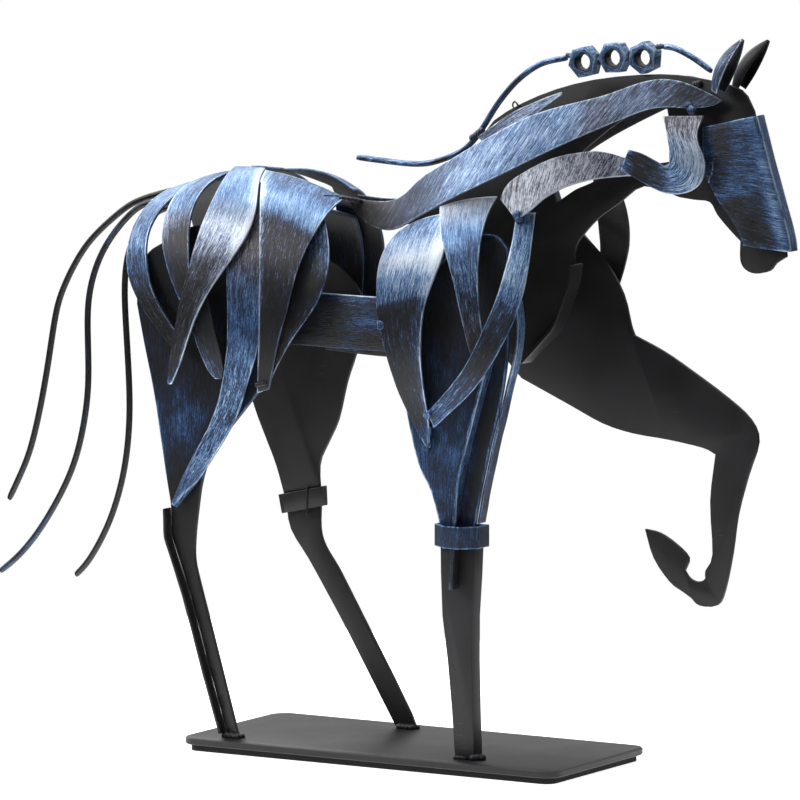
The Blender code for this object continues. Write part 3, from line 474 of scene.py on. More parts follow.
def black_powder_coat(paint):
    """Satin black powder coat, sprayed as powder and baked: an even skin with a fine orange peel.

    It gives the plates a soft grey sheen with small pits of light, and a few pale scuffs.
    """
    material, tree = new_tree("black_powder_coat")
    place = add_node(tree, "TexCoord").outputs["Object"]
    made = {}
    for name, size, shift, detail, rough in COAT_PATTERNS:
        finer = [1 / (mm * MM) for mm in size]
        sized = add_node(tree, "VectorMath", {0: place, 1: finer, 2: shift},
                         operation="MULTIPLY_ADD")
        made[name] = add_node(tree, "TexNoise",
                              {"Vector": sized, "Scale": 1.0, "Detail": detail, "Roughness": rough})
    for name, source, low, high, strength in COAT_MARKS:
        made[name] = add_node(tree, "MapRange", {0: made[source], 1: low, 2: high, 4: strength},
                              **SOFTLY)
    scuffed = add_node(tree, "Math", {0: made["line"], 1: made["zone"]}, operation="MULTIPLY")
    colour = add_node(tree, "Mix", {0: made["thin_coat"], 6: (*paint.coat, 1),
                                    7: (*paint.coat_light, 1)}, data_type="RGBA")
    marked = add_node(tree, "Mix", {0: scuffed, 6: colour.outputs[2], 7: (*paint.scuff, 1)},
                      data_type="RGBA")
    gloss = add_node(tree, "MapRange", {0: made["cloud"], 1: 0.25, 2: 0.75, 3: 0.40, 4: 0.50})
    bump = add_node(tree, "Bump", {"Height": made["peel"], "Distance": 0.02 * MM})
    shader = add_node(tree, "BsdfPrincipled",
                      {"Base Color": marked.outputs[2], "Roughness": gloss, "Normal": bump,
                       "Specular IOR Level": 0.4})
    add_node(tree, "OutputMaterial", {"Surface": shader})
    return material


# The marks that the brush leaves in the blue: length along and width across the strap in mm,
# detail, roughness, and the share of the load of paint that the mark takes or gives.
# Real bristle marks are about 0.2 mm wide. They are drawn twice as wide, so that they show.
BRUSH_MARKS = (
    ("bristles", 4.6, 0.36, 3, 0.68, 1.75),
    ("strokes", 14.0, 1.4, 2, 0.55, 0.65),
    ("grains", 1.1, 0.45, 1, 0.5, 0.6),
)
# The colours that a rising load gives, wiped over the black coat, and those of a painted sheen:
# the lights reflected in the coat, brownish grey to pale.
BLUE_STOPS = ((0.10, "coat"), (0.30, "blue_deep"), (0.52, "blue_mid"), (0.74, "blue_light"),
              (0.97, "blue_pale"))
SHEEN_STOPS = ((0.10, "coat"), (0.36, "bare_steel"), (0.60, "steel_mid"), (0.92, "steel_pale"))


def brushed_blue_paint(paint):
    """Metallic blue wiped over black powder coat with a nearly dry stiff brush.

    The bristles leave thin pale streaks along each strap, bare black between them, specks where
    the brush skipped, and a paler line on every rim that the bristles caught. A painted sheen, the
    lights reflected in the coat as brownish grey to pale, is mixed in where the corners ask for it.
    """
    material, tree = new_tree("brushed_blue_paint")
    brush = add_node(tree, "Attribute", attribute_name="brush").outputs["Vector"]
    blue, warm, rim, rim_blue, calm = [
        add_node(tree, "Attribute", attribute_name=name).outputs["Fac"] for name in PLAIN_PAINT]
    place = add_node(tree, "TexCoord").outputs["Object"]
    wander = add_node(tree, "TexNoise", {"Vector": place, "Scale": 1 / (14 * MM), "Detail": 1.0})
    bent = add_node(tree, "VectorMath", {0: wander.outputs["Color"], 1: (0, 2.0 * MM, 0), 2: brush},
                    operation="MULTIPLY_ADD")
    load = 0.0
    marks = {}
    for turn, (name, along, across, detail, rough, share) in enumerate(BRUSH_MARKS):
        sized = add_node(tree, "VectorMath",
                         {0: bent, 1: (1 / (along * MM), 1 / (across * MM), 9.0),
                          2: (5.0 * turn, 3, turn)},
                         operation="MULTIPLY_ADD")
        marks[name] = add_node(tree, "TexNoise", {"Vector": sized, "Scale": 1.0, "Detail": detail,
                                                  "Roughness": rough})
        centred = add_node(tree, "Math", {0: marks[name], 1: 0.5}, operation="SUBTRACT")
        load = add_node(tree, "Math", {0: centred, 1: share, 2: load}, operation="MULTIPLY_ADD")
    kept = add_node(tree, "Math", {0: 1.0, 1: calm}, operation="SUBTRACT")
    load = add_node(tree, "Math", {0: load, 1: kept, 2: blue}, operation="MULTIPLY_ADD")
    cloud = add_node(tree, "TexNoise", {"Vector": place, "Scale": 1 / (9 * MM), "Detail": 2.0})
    clouded = add_node(tree, "Math", {0: cloud, 1: 0.5}, operation="SUBTRACT")
    load = add_node(tree, "Math", {0: clouded, 1: 0.4, 2: load}, operation="MULTIPLY_ADD")
    near_rim = add_node(tree, "MapRange", {0: rim, 1: 0.1 * MM, 2: 0.6 * MM, 3: 0.42, 4: 0.0},
                        **SOFTLY)
    broken = add_node(tree, "MapRange", {0: marks["strokes"], 1: 0.3, 2: 0.55, 3: 0.3, 4: 1.0},
                      **SOFTLY)
    caught = add_node(tree, "Math", {0: near_rim, 1: rim_blue}, operation="MULTIPLY")
    load = add_node(tree, "Math", {0: caught, 1: broken, 2: load}, operation="MULTIPLY_ADD",
                    use_clamp=True)
    ramps = []
    for stops in (BLUE_STOPS, SHEEN_STOPS):
        ramp = add_node(tree, "ValToRGB", {"Fac": load})
        while len(ramp.color_ramp.elements) < len(stops):
            ramp.color_ramp.elements.new(0.5)
        for element, (spot, colour) in zip(ramp.color_ramp.elements, stops):
            element.position = spot
            element.color = (*getattr(paint, colour), 1)
        ramps.append(ramp)
    # Mix in the painted sheen, the lights reflected in the coat, where the corners ask for it.
    sheened = add_node(tree, "Mix", {0: warm, 6: ramps[0], 7: ramps[1]}, data_type="RGBA")
    metal = add_node(tree, "MapRange", {0: load, 1: 0.15, 2: 0.70, 3: 0.0, 4: 0.55})
    gloss = add_node(tree, "MapRange", {0: marks["bristles"], 1: 0.2, 2: 0.8, 3: 0.31, 4: 0.45})
    height = add_node(tree, "Math", {0: load, 1: 0.8, 2: marks["bristles"]},
                      operation="MULTIPLY_ADD")
    bump = add_node(tree, "Bump", {"Height": height, "Distance": 0.09 * MM})
    shader = add_node(tree, "BsdfPrincipled",
                      {"Base Color": sheened.outputs[2], "Metallic": metal, "Roughness": gloss,
                       "Normal": bump})
    add_node(tree, "OutputMaterial", {"Surface": shader})
    return material


def foam_rubber(paint):
    """Closed-cell foam rubber, cut from a sheet: matt black, its cut cells as fine pits with
    painted shade.
    """
    material, tree = new_tree("foam_rubber")
    place = add_node(tree, "TexCoord").outputs["Object"]
    cells = add_node(tree, "TexVoronoi", {"Vector": place, "Scale": 1 / (0.4 * MM)})
    depth = add_node(tree, "MapRange", {0: cells, 1: 0.1, 2: 0.6}, **SOFTLY)
    # The pits are painted darker: painted shade in the cut cells.
    pit = [0.4 * part for part in paint.foam]
    colour = add_node(tree, "Mix", {0: depth, 6: (*pit, 1), 7: (*paint.foam, 1)}, data_type="RGBA")
    bump = add_node(tree, "Bump", {"Height": cells, "Distance": 0.08 * MM})
    shader = add_node(tree, "BsdfPrincipled",
                      {"Base Color": colour.outputs[2], "Roughness": 0.9, "Normal": bump})
    add_node(tree, "OutputMaterial", {"Surface": shader})
    return material


def finish_of(maker):
    """The material that a maker gives, made the first time it is asked for."""
    return bpy.data.materials.get(maker.__name__) or maker(bpy.context.scene.horse_paint)


# ---------------------------------------------------------------- sheet pieces

# How each strap is painted. A profile is pairs of share and amount. It runs from a strap's start
# to its end, and for across from its first long rim to its second.
#   blue: the load of blue, high near a strap's top and in its pale bands partly a painted
#     highlight; across and lean: what is added to it across the strap
#   blots: ellipses of more or less blue seen from the side, each x, z, half width and half height
#     in millimetres, lean in degrees, amount
#   warm: a painted sheen, the lights reflected in the coat as brownish grey to pale;
#   rims: the paler line on the two long rims
#   calm: how far the streaks fade, or below zero stand out
#   side: the way the outer side faces; angle: the lean of the strokes in degrees
#   relief: how uneven the sheet is in millimetres
NEAR_STRAPS = {
    "right_rump_strap_1": {
        "blue": ((0, .68), (.17, .58), (.36, .5), (.47, .64), (.56, .38), (.67, .28), (.75, .08),
            (1, .05)), "warm": ((0, 0), (.6, 0), (.8, .5), (1, .6)), "rims": (.8, 1.2),
        "calm": ((0, .2), (.3, .2), (.5, 0), (1, .2))},
    # Its brownish sheen from .42 to .75 is a painted highlight.
    "right_rump_strap_2": {
        "blue": ((0, .44), (.2, .48), (.44, .52), (.52, .5), (.66, .14), (1, .04)),
        "across": ((0, .3), (.22, .04), (1, 0)),
        "warm": ((0, 0), (.42, 0), (.52, .6), (.62, .7), (.75, .1), (1, .2)), "rims": (.6, 1.3),
        "calm": ((0, .2), (.5, .1), (1, .3)), "side": (-0.7, -0.7, 0.5)},
    # Its blue rising to .84 at .35 paints a pale highlight across the strap's middle.
    "right_rump_strap_3": {
        "blue": ((0, .7), (.18, .64), (.29, .68), (.35, .84), (.41, .72), (.48, .36), (.6, .18),
            (.8, .06), (.93, .14), (1, .45)), "across": ((0, 0), (.72, 0), (.92, .26), (1, .36)),
        "warm": ((0, 0), (.22, .05), (.32, .5), (.5, .6), (.85, .5), (1, .1)), "rims": (.4, 1.7),
        "calm": ((0, .5), (.25, .45), (.4, 0), (.6, -.1), (1, .2))},
    # Its blue of .56 to .68 from .1 to .24 paints a pale highlight band.
    "right_rump_strap_4": {
        "blue": ((0, .48), (.1, .56), (.16, .68), (.24, .64), (.29, .22), (.45, .22), (.6, .08),
            (1, .03)), "across": ((0, .3), (.05, .3), (.1, .06), (.16, 0), (1, 0)),
        "warm": ((0, 0), (.24, 0), (.3, .5), (.5, .4), (.75, .3), (1, .4)), "rims": (2.0, 1.0),
        "calm": ((0, .1), (.12, .45), (.24, .45), (.3, -.25), (.5, 0), (.7, .5), (1, .6))},
    "right_rump_strap_5": {
        "blue": ((0, .35), (.18, .3), (.28, .4), (.36, .4), (.6, .44), (.8, .54), (1, .3)),
        "warm": ((0, .6), (.22, .9), (.3, .2), (.4, 0), (1, 0)), "rims": (.9, .9),
        "calm": ((0, 0), (.45, .3), (.65, -.4), (.85, -.4), (1, .2))},
    "right_rump_strap_6": {
        "blue": ((0, .05), (.5, .08), (1, .3)), "lean": -.25, "warm": ((0, .5), (1, .2)),
        "rims": (1.3, .3)},
    "right_rump_strap_7": {
        "blue": ((0, .1), (.15, .2), (.3, .16), (.4, -.1), (1, -.15)), "lean": .5,
        "warm": ((0, 0), (.5, .2), (1, .5)), "rims": (.2, 1)},
    "right_belly_strap": {
        "blue": ((0, .14), (.35, .14), (.6, .06), (.8, -.04), (1, -.1)),
        "across": ((0, 0), (.72, 0), (1, .26)), "blots": ((-6, 154.5, 9, 2.2, 8, .3),),
        "rims": (.5, 1.5), "calm": ((0, .45), (1, .45))},
    # Its pale blue from .1 to .37, cut off at .385, paints a highlight and the lower edge of the
    # reflected light.
    "right_shoulder_strap_1": {
        "blue": ((0, .48), (.1, .7), (.19, .88), (.27, .62), (.37, .5), (.385, .1), (.7, .1),
            (.88, .14), (.95, .4), (1, .5)), "across": ((0, 0), (.74, 0), (1, .3)), "lean": .16,
        "warm": ((0, 0), (.1, .2), (.2, .5), (.26, 0), (.5, .3), (1, 0)), "rims": (.8, 1.8),
        "calm": ((0, 0), (.15, .35), (.3, 0), (.4, 0), (1, .3))},
    "right_shoulder_strap_2": {
        "blue": ((0, .86), (.1, .72), (.3, .5), (.48, .46), (.62, .26), (.85, .22), (.9, .05),
            (1, .03)), "warm": ((0, .7), (.1, .5), (.2, 0), (.6, .1), (.9, .7), (1, .8)),
        "rims": (.9, 1.2), "calm": ((0, .5), (.3, .4), (.5, -.2), (1, .3))},
    "right_shoulder_strap_3": {
        "blue": ((0, .62), (.28, .66), (.38, .44), (.46, .16), (.66, .08), (.76, .26), (1, .36)),
        "warm": ((0, 0), (1, 0)), "rims": (1.4, 1.0)},
    "right_foreleg_front_strip": {
        "blue": ((0, .5), (.25, .58), (.45, .3), (1, .14)), "rims": (1, .8),
        "side": BACK_FROM_HEAD},
    "right_foreleg_rib": {
        "blue": ((0, .42), (.5, .34), (.7, .2), (.8, -.3), (1, -.35)), "rims": (1, .8),
        "side": BACK_FROM_HEAD},
}
FAR_STRAPS = {
    "left_rump_strap_1": {"blue": ((0, .6), (.4, .5), (1, .15))},
    "left_rump_strap_2": {
        "blue": ((0, .6), (.3, .5), (.6, .2), (1, .12)), "warm": ((0, 0), (.4, .7), (1, .2)),
        "side": (-0.7, 0.7, 0.5)},
    "left_rump_strap_3": {"blue": ((0, .6), (.3, .55), (.6, .2), (1, .4)), "rims": (.6, 1.5)},
    "left_rump_strap_4": {"blue": ((0, .5), (.2, .7), (.5, .3), (1, .1)), "rims": (1.5, .8)},
    "left_rump_strap_5": {"blue": ((0, .4), (.5, .45), (1, .2))},
    "left_rump_strap_6": {"blue": ((0, .2), (1, .25))},
    "left_belly_strap": {"blue": ((0, .15), (.5, .25), (1, .2))},
    "left_shoulder_strap_1": {"blue": ((0, .6), (.2, .65), (.4, .5), (.44, .15), (1, .2))},
    "left_shoulder_strap_2": {"blue": ((0, .6), (.5, .45), (1, .3))},
}
NECK_STRAPS = {
    "right_crest_strap": {
        "blue": ((0, .3), (.1, .36), (.17, .56), (.22, .48), (.3, .5), (.36, .62), (.6, .64),
            (.68, .48), (.78, .34), (.88, .26), (.92, .05), (1, .03)),
        "warm": ((0, .4), (.2, .35), (.29, .5), (.35, .1), (.6, .15), (.8, .35), (.95, .8),
            (1, .9)), "rims": (.9, 1.1), "side": NEAR_SIDE, "angle": -54},
    "left_crest_strap": {"blue": ((0, .5), (.5, .45), (1, .2)), "side": FAR_SIDE, "angle": -42},
    "lower_neck_strap": {
        "blue": ((0, .6), (.25, .62), (.5, .72), (1, .74)), "warm": ((0, .6), (.3, .75), (1, .8)),
        "rims": (1.5, .6), "calm": ((0, -.2), (1, -.2)), "side": NEAR_SIDE, "angle": -48,
        "relief": .14},
    "withers_strap": {
        "blue": ((0, .8), (.2, .62), (.6, .58), (1, .5)), "warm": ((0, .2), (.4, .45), (1, .4)),
        "side": NEAR_SIDE},
    "right_cheek_strap": {
        "blue": ((0, .46), (.1, .5), (.2, .78), (.36, .72), (.5, .54), (.62, .5), (.7, .2),
            (.88, .1), (1, .4)),
        "blots": ((118, 209, 4.5, 7, -20, .3), (106, 205.5, 6, 2, -12, .35)),
        "warm": ((0, .9), (.12, .8), (.22, .3), (.4, 0), (1, 0)), "rims": (1.1, 1.1),
        "calm": ((0, -.1), (.2, -.4), (.6, -.2), (1, 0)), "side": NEAR_SIDE},
    "left_cheek_strap": {"blue": ((0, .45), (.3, .5), (.7, .2), (1, .4)), "side": FAR_SIDE},
}
BLACK_STRAPS = {
    "left_neck_strap": FAR_SIDE, "chest_strap": BACK_FROM_HEAD, "right_hind_shin_strip": NEAR_SIDE,
}
EAR_COAT = {"blue": ((0, .3), (.6, .42), (1, .5)), "warm": ((0, .4), (1, .3)), "rims": (1.4, 1.4)}
# The mask's two flanks run across from their back rim to the fold: darker at the back and below a
# lap in the paint, and pale along the fold.
MASK_COAT = {
    "blue": ((0, .38), (1, .38)), "across": ((0, 0), (.7, 0), (.93, .12), (1, .16)),
    "blots": ((126, 222, 2.8, 9, 0, -.32), (140, 222, 1.2, 12, 14, .1),
        (144, 207, 1.4, 12, 16, .14), (148, 191, 2.2, 9, 16, .16), (133, 206.8, 7, 1.5, 18, .16),
        (131, 201.6, 6.5, 2.2, 18, -.46), (136.5, 196, 6.5, 4.2, 20, -.4),
        (140, 189.5, 5.5, 4.5, 15, -.34), (145, 199, 2.6, 8, 14, .14)), "rims": (.5, .9),
    "calm": ((0, .3), (1, .2)), "angle": 84,
}


def crease_rims(piece):
    """Creases every cut rim, so that refining the sheet keeps its outline."""
    start_edit(piece)
    bpy.ops.mesh.edges_select_sharp(sharpness=SHARP)
    bpy.ops.transform.edge_crease(value=1.0)
    end_edit()


def strap(node, coat, start, outward, maker=brushed_blue_paint):
    """Makes one bent strap from its node: walked for the brush, refined, rims broken, painted."""
    sheet = bpy.context.scene.horse_sheet
    piece = merged_copy(node)
    length = lay_brush(piece, start, outward, math.radians(coat.get("angle", 0)))
    crease_rims(piece)
    subdivide_smooth(piece, sheet.refine)
    roughen(piece, coat.get("relief", sheet.relief / MM) * MM, sheet.relief_size, len(node))
    break_edges(piece, sheet.rim_round)
    lay_paint(piece, length, coat)
    hand_in(piece, node, maker)
    return piece


class SheetSettings(bpy.types.PropertyGroup):
    """Sizes of the sheet metal."""

    rim_round: bpy.props.FloatProperty(
        name="Rim rounding", description="How far the sheet's cut edges are broken",
        default=0.2 * MM, min=0.0, unit="LENGTH", subtype="DISTANCE")
    refine: bpy.props.IntProperty(
        name="Refinement", description="How often each bent sheet is subdivided",
        default=2, min=1, max=4)
    relief: bpy.props.FloatProperty(
        name="Relief", description="How far hand bending leaves a sheet uneven",
        default=0.1 * MM, min=0.0, unit="LENGTH", subtype="DISTANCE")
    relief_size: bpy.props.FloatProperty(
        name="Relief size", description="Width of the uneven places",
        default=7 * MM, min=MM, unit="LENGTH", subtype="DISTANCE")
    plate_grid: bpy.props.FloatProperty(
        name="Plate grid", description="Spacing of the corners that carry a plate's paint",
        default=3 * MM, min=0.5 * MM, unit="LENGTH", subtype="DISTANCE")


def colour_setting(name, description, code):
    """A colour that a user can change, its default given as an sRGB hex value."""
    return bpy.props.FloatVectorProperty(
        name=name, description=description, subtype="COLOR", default=linear(code))


class PaintSettings(bpy.types.PropertyGroup):
    """Colours of the coat and the blue brushed over it."""

    coat: colour_setting("Coat", "Black powder coat", "#1a1a1c")
    coat_light: colour_setting("Coat, lighter", "Powder coat where it is thin", "#222225")
    scuff: colour_setting("Scuffs", "Scuffs in the coat", "#6b6460")
    # The next three colours are a painted sheen: the lights reflected in the coat, brownish grey to
    # pale.
    bare_steel: colour_setting("Dark sheen", "Painted brownish sheen of the lights", "#45403f")
    steel_mid: colour_setting("Middle sheen", "Painted lilac-grey sheen of the lights", "#8a868c")
    steel_pale: colour_setting("Pale sheen", "Painted bright sheen of the lights", "#cfd0d8")
    blue_deep: colour_setting("Deep blue", "Thinnest blue on black", "#202d45")
    blue_mid: colour_setting("Middle blue", "Blue at its usual strength", "#476a9c")
    blue_light: colour_setting("Light blue", "Blue where the brush was full", "#85a8cf")
    blue_pale: colour_setting("Pale blue", "Streaks and rims that the bristles caught", "#cfdeee")
    foam: colour_setting("Foam", "Foam rubber of the pad", "#1a1a1a")


class HORSE_OT_body_straps(bpy.types.Operator):
    """Make the bent straps of the rump, belly and shoulders, and the strips of the near foreleg"""

    bl_idname = "horse.body_straps"
    bl_label = "Body straps"

    def execute(self, context):
        for coats, side in ((NEAR_STRAPS, NEAR_SIDE), (FAR_STRAPS, FAR_SIDE)):
            for node, coat in coats.items():
                start = BACK_FROM_HEAD if "belly" in node else DOWN_FROM_TOP
                strap(node, coat, start, coat.get("side", side))
        return {"FINISHED"}


class HORSE_OT_neck_straps(bpy.types.Operator):
    """Make the straps of the crest, withers, throat and cheeks"""

    bl_idname = "horse.neck_straps"
    bl_label = "Neck straps"

    def execute(self, context):
        for node, coat in NECK_STRAPS.items():
            start = DOWN_FROM_TOP if "cheek" in node else BACK_FROM_HEAD
            strap(node, coat, start, coat["side"])
        for node, side in BLACK_STRAPS.items():
            strap(node, {}, DOWN_FROM_TOP, side, black_powder_coat)
        return {"FINISHED"}


# The mask's front is the strip between its two folds: half its width, how much of that the round
# of a fold takes, how squarely a face must look forward to be in it, and how much darker it is.
FRONT_HALF_WIDTH = 2.5 * MM
FOLD_ROUND = 0.2 * MM
FRONT_FACING = 0.6
FRONT_DARKER = 0.1


def paint_front(mask):
    """Runs the strokes down the mask's narrow front, which is darker than the folds beside it."""
    mesh = mask.data
    places = corner_places(mask)
    brush = vectors_of(mask, "brush")
    rim = numbers_of(mask, "rim")
    blue = numbers_of(mask, "blue")
    facing = read(mesh.vertices, "normal")[:, 0] > FRONT_FACING
    front = facing & (np.abs(places[:, 1]) < FRONT_HALF_WIDTH - FOLD_ROUND)
    rim[front] = FRONT_HALF_WIDTH - np.abs(places[front, 1])
    blue[front] -= FRONT_DARKER
    mesh.attributes["rim"].data.foreach_set("value", rim)
    mesh.attributes["blue"].data.foreach_set("value", blue)
    mesh.attributes.remove(mesh.attributes["brush"])
    laid = mesh.attributes.new("brush", "FLOAT_VECTOR", "CORNER")
    for face in mesh.polygons:
        for loop in face.loop_indices:
            corner = mesh.loops[loop].vertex_index
            down = (-places[corner][2], places[corner][1], 0)
            laid.data[loop].vector = down if face.normal.x > FRONT_FACING else brush[corner]


class HORSE_OT_face_mask(bpy.types.Operator):
    """Make the folded mask over the horse's nose"""

    bl_idname = "horse.face_mask"
    bl_label = "Face mask"

    def execute(self, context):
        paint_front(strap("face_mask", MASK_COAT, DOWN_FROM_TOP, None))
        return {"FINISHED"}


class HORSE_OT_ears(bpy.types.Operator):
    """Make the two cupped ears"""

    bl_idname = "horse.ears"
    bl_label = "Ears"

    def execute(self, context):
        strap("right_ear", EAR_COAT, DOWN_FROM_TOP, TOWARDS_TAIL)
        strap("left_ear", {}, DOWN_FROM_TOP, FAR_SIDE, black_powder_coat)
        return {"FINISHED"}


# The flat plates that are black all over, and the paint of those that carry some blue: the record's
# slot of each, and its coat, whose profiles run down from its top.
BLACK_PLATES = ("neck_and_head_plate", "left_raised_foreleg", "left_hind_shin", "left_thigh_plate",
                "right_fore_shin")
PAINTED_PLATES = {
    "right_shoulder_plate": ("brushed_blue", {
        "blue": ((0, .1), (.3, .1), (.55, .26), (.75, .36), (1, .3)),
        "blots": ((43, 108, 5, 26, -4, -.3), (22, 95, 3, 18, 10, .06)), "rim": 1.0}),
    "right_hind_leg": ("black_coat", {
        "blue": ((0, .04), (.3, .1), (.36, .2), (.42, .24), (.5, .08), (.55, -.3), (1, -.4)),
        "blots": ((-80, 119, 7, 9, 0, .16), (-90, 108, 2.5, 20, 8, .14)), "rim": 0.6}),
}
# The two cuffs: the record's slot, the load of blue and the paler line on the rims.
CUFFS = {"right_fore_cuff": ("brushed_blue", .26, .8), "left_hind_cuff": ("black_coat", -.25, 0)}
# How far the streaks fade on plates and cuffs, whose blue was wiped on evenly.
PLATE_CALM = 0.5
# An edge sharper than this is a plate's rim. It is measured from this many places on each edge.
RIM_BEND = math.radians(20)
RIM_SAMPLES = 5
# How far from a cuff's rims it is cut, so that its paler line stays on the rims.
CUFF_BORDER = 0.8 * MM


def cut_plate(node):
    """Copies one flat cut plate, joins its faces and breaks its rims."""
    piece = merged_copy(node)
    start_edit(piece, "EDGE", "SELECT")
    bpy.ops.mesh.dissolve_limited(angle_limit=FLAT_BEND)
    end_edit()
    break_edges(piece, bpy.context.scene.horse_sheet.rim_round)
    return piece


def cut_through(axis, spots):
    """Cuts the piece that is being edited, so that it has corners at each spot along an axis."""
    for spot in spots:
        bpy.ops.mesh.select_all(action="SELECT")
        bpy.ops.mesh.bisect(plane_co=[spot if k == axis else 0 for k in range(3)],
                            plane_no=[float(k == axis) for k in range(3)])


def painted_plate(node, coat):
    """Makes one flat cut plate with a grid of corners, so that it can carry brushed paint."""
    piece = cut_plate(node)
    low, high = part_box(node)
    start_edit(piece)
    for axis in (0, 2):
        size = high[axis] - low[axis]
        count = int(size / bpy.context.scene.horse_sheet.plate_grid)
        cut_through(axis, [low[axis] + k * size / count for k in range(1, count)])
    end_edit()
    places = corner_places(piece)
    hidden = np.where(places[:, 1] < (low.y + high.y) / 2, 0.0, 1.0)
    bm = bmesh.new()
    bm.from_mesh(piece.data)
    rims = [e for e in bm.edges if e.is_manifold and e.calc_face_angle() > RIM_BEND]
    samples = np.array([list(e.verts[0].co.lerp(e.verts[1].co, share)) for e in rims
                        for share in np.linspace(0, 1, RIM_SAMPLES)])
    bm.free()
    share = (high.z - places[:, 2]) / (high.z - low.z)
    blue = profile(coat, "blue", share) + blots_at(places, coat)
    write_brush(piece, -places[:, 2], places[:, 0], hidden)
    write_paint(piece, blue=blue * (1 - hidden), calm=PLATE_CALM,
                rim=[np.sqrt(((samples - place) ** 2).sum(1).min()) for place in places],
                rim_blue=(1 - INNER_RIM_LOSS * hidden) * coat["rim"])
    hand_in(piece, node, brushed_blue_paint)


class HORSE_OT_plates(bpy.types.Operator):
    """Make the flat cut plates of the neck, head, shoulder and legs"""

    bl_idname = "horse.plates"
    bl_label = "Plates"

    def execute(self, context):
        for node in BLACK_PLATES:
            hand_in(cut_plate(node), node, black_powder_coat)
        for node, (slot, coat) in PAINTED_PLATES.items():
            painted_plate(node, coat)
        return {"FINISHED"}


def ring_cuff(node, blue, rim):
    """Makes one cuff bent round a leg, its strokes running down it."""
    piece = merged_copy(node)
    break_edges(piece, bpy.context.scene.horse_sheet.rim_round)
    low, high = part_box(node)
    start_edit(piece)
    cut_through(2, (low.z + CUFF_BORDER, high.z - CUFF_BORDER))
    end_edit()
    x, y, z = corner_places(piece).T
    centre = (low + high) / 2
    write_brush(piece, z, np.arctan2(y - centre.y, x - centre.x) * (high.x - low.x) / 2)
    write_paint(piece, blue=blue, rim=np.minimum(z - low.z, high.z - z), rim_blue=rim,
                calm=PLATE_CALM)
    hand_in(piece, node, brushed_blue_paint)


class HORSE_OT_cuffs(bpy.types.Operator):
    """Make the two cuffs bent round the legs"""

    bl_idname = "horse.cuffs"
    bl_label = "Leg cuffs"

    def execute(self, context):
        for node, (slot, blue, rim) in CUFFS.items():
            ring_cuff(node, blue, rim)
        return {"FINISHED"}


# ---------------------------------------------------------------- wires, nuts and welds

# Each wire: the record's slot, the sides of its frame solid, its load of blue from tail to head,
# and how much more blue its upper side has, a painted highlight where light falls from above.
WIRES = {
    "rear_mane_wire": ("brushed_blue", 8, ((0, .45), (.5, .4), (1, .5)), .25),
    "front_mane_wire": ("brushed_blue", 8, ((0, .5), (1, .45)), .25),
    "tail_wire_1": ("black_coat", 6, ((0, -.2), (.1, .1), (.2, -.2), (.5, -.1), (1, -.1)), 0),
    "tail_wire_2": ("black_coat", 6, ((0, .25), (.3, .2), (.4, -.1), (.6, .1), (1, -.1)), 0),
    "tail_wire_3": ("black_coat", 6, ((0, -.2), (1, -.2)), 0),
}


def round_wire(node, sides, loads, top):
    """Makes one bent wire: its flat-sided frame solid fattened, then refined until it is round.

    Refining draws the corners of such a section in to a known share of its radius, which is made
    up for beforehand.
    """
    piece = merged_copy(node)
    low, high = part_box(node)
    radius = (high.y - low.y) / 2
    kept = 2 / 3 + math.cos(2 * math.pi / sides) / 3
    start_edit(piece, "EDGE", "SELECT")
    bpy.ops.transform.shrink_fatten(value=radius * (1 / kept - 1))
    end_edit()
    subdivide_smooth(piece, 2)
    x, y, z = corner_places(piece).T
    write_brush(piece, x - z, (y - (low.y + high.y) / 2) * 2)
    upper = read(piece.data.vertices, "normal")[:, 2]
    share = (x - low.x) / (high.x - low.x)
    # The upper side gets more blue: a painted highlight.
    write_paint(piece, blue=np.interp(share, *zip(*loads)) + top * upper)
    hand_in(piece, node, brushed_blue_paint)


class HORSE_OT_wires(bpy.types.Operator):
    """Make the bent wires of the mane and tail"""

    bl_idname = "horse.wires"
    bl_label = "Mane and tail wires"

    def execute(self, context):
        for node, (slot, sides, loads, top) in WIRES.items():
            round_wire(node, sides, loads, top)
        return {"FINISHED"}


# A nut's half width, how far its edges are broken and at what angle, and how much blue it carries
# at a number of millimetres from its middle.
NUT_HALF = 5 * MM
NUT_EDGE = 0.25 * MM
NUT_SHARP = math.radians(25)
NUT_LOADS = {2.6: -.3, 3.2: .35, 4: .6, 5: .62}


class HORSE_OT_mane_nuts(bpy.types.Operator):
    """Make the three nuts of the mane"""

    bl_idname = "horse.mane_nuts"
    bl_label = "Mane nuts"

    def execute(self, context):
        reach = np.array(list(NUT_LOADS)) * MM
        for node in ("mane_nut_1", "mane_nut_2", "mane_nut_3"):
            piece = merged_copy(node)
            break_edges(piece, NUT_EDGE, sharp=NUT_SHARP)
            low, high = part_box(node)
            centre = (low + high) / 2
            x, _, z = corner_places(piece).T
            out = np.hypot(x - centre.x, z - centre.z)
            write_brush(piece, np.arctan2(z - centre.z, x - centre.x) * NUT_HALF, out)
            write_paint(piece, blue=np.interp(out, reach, list(NUT_LOADS.values())))
            hand_in(piece, node, brushed_blue_paint)
        return {"FINISHED"}
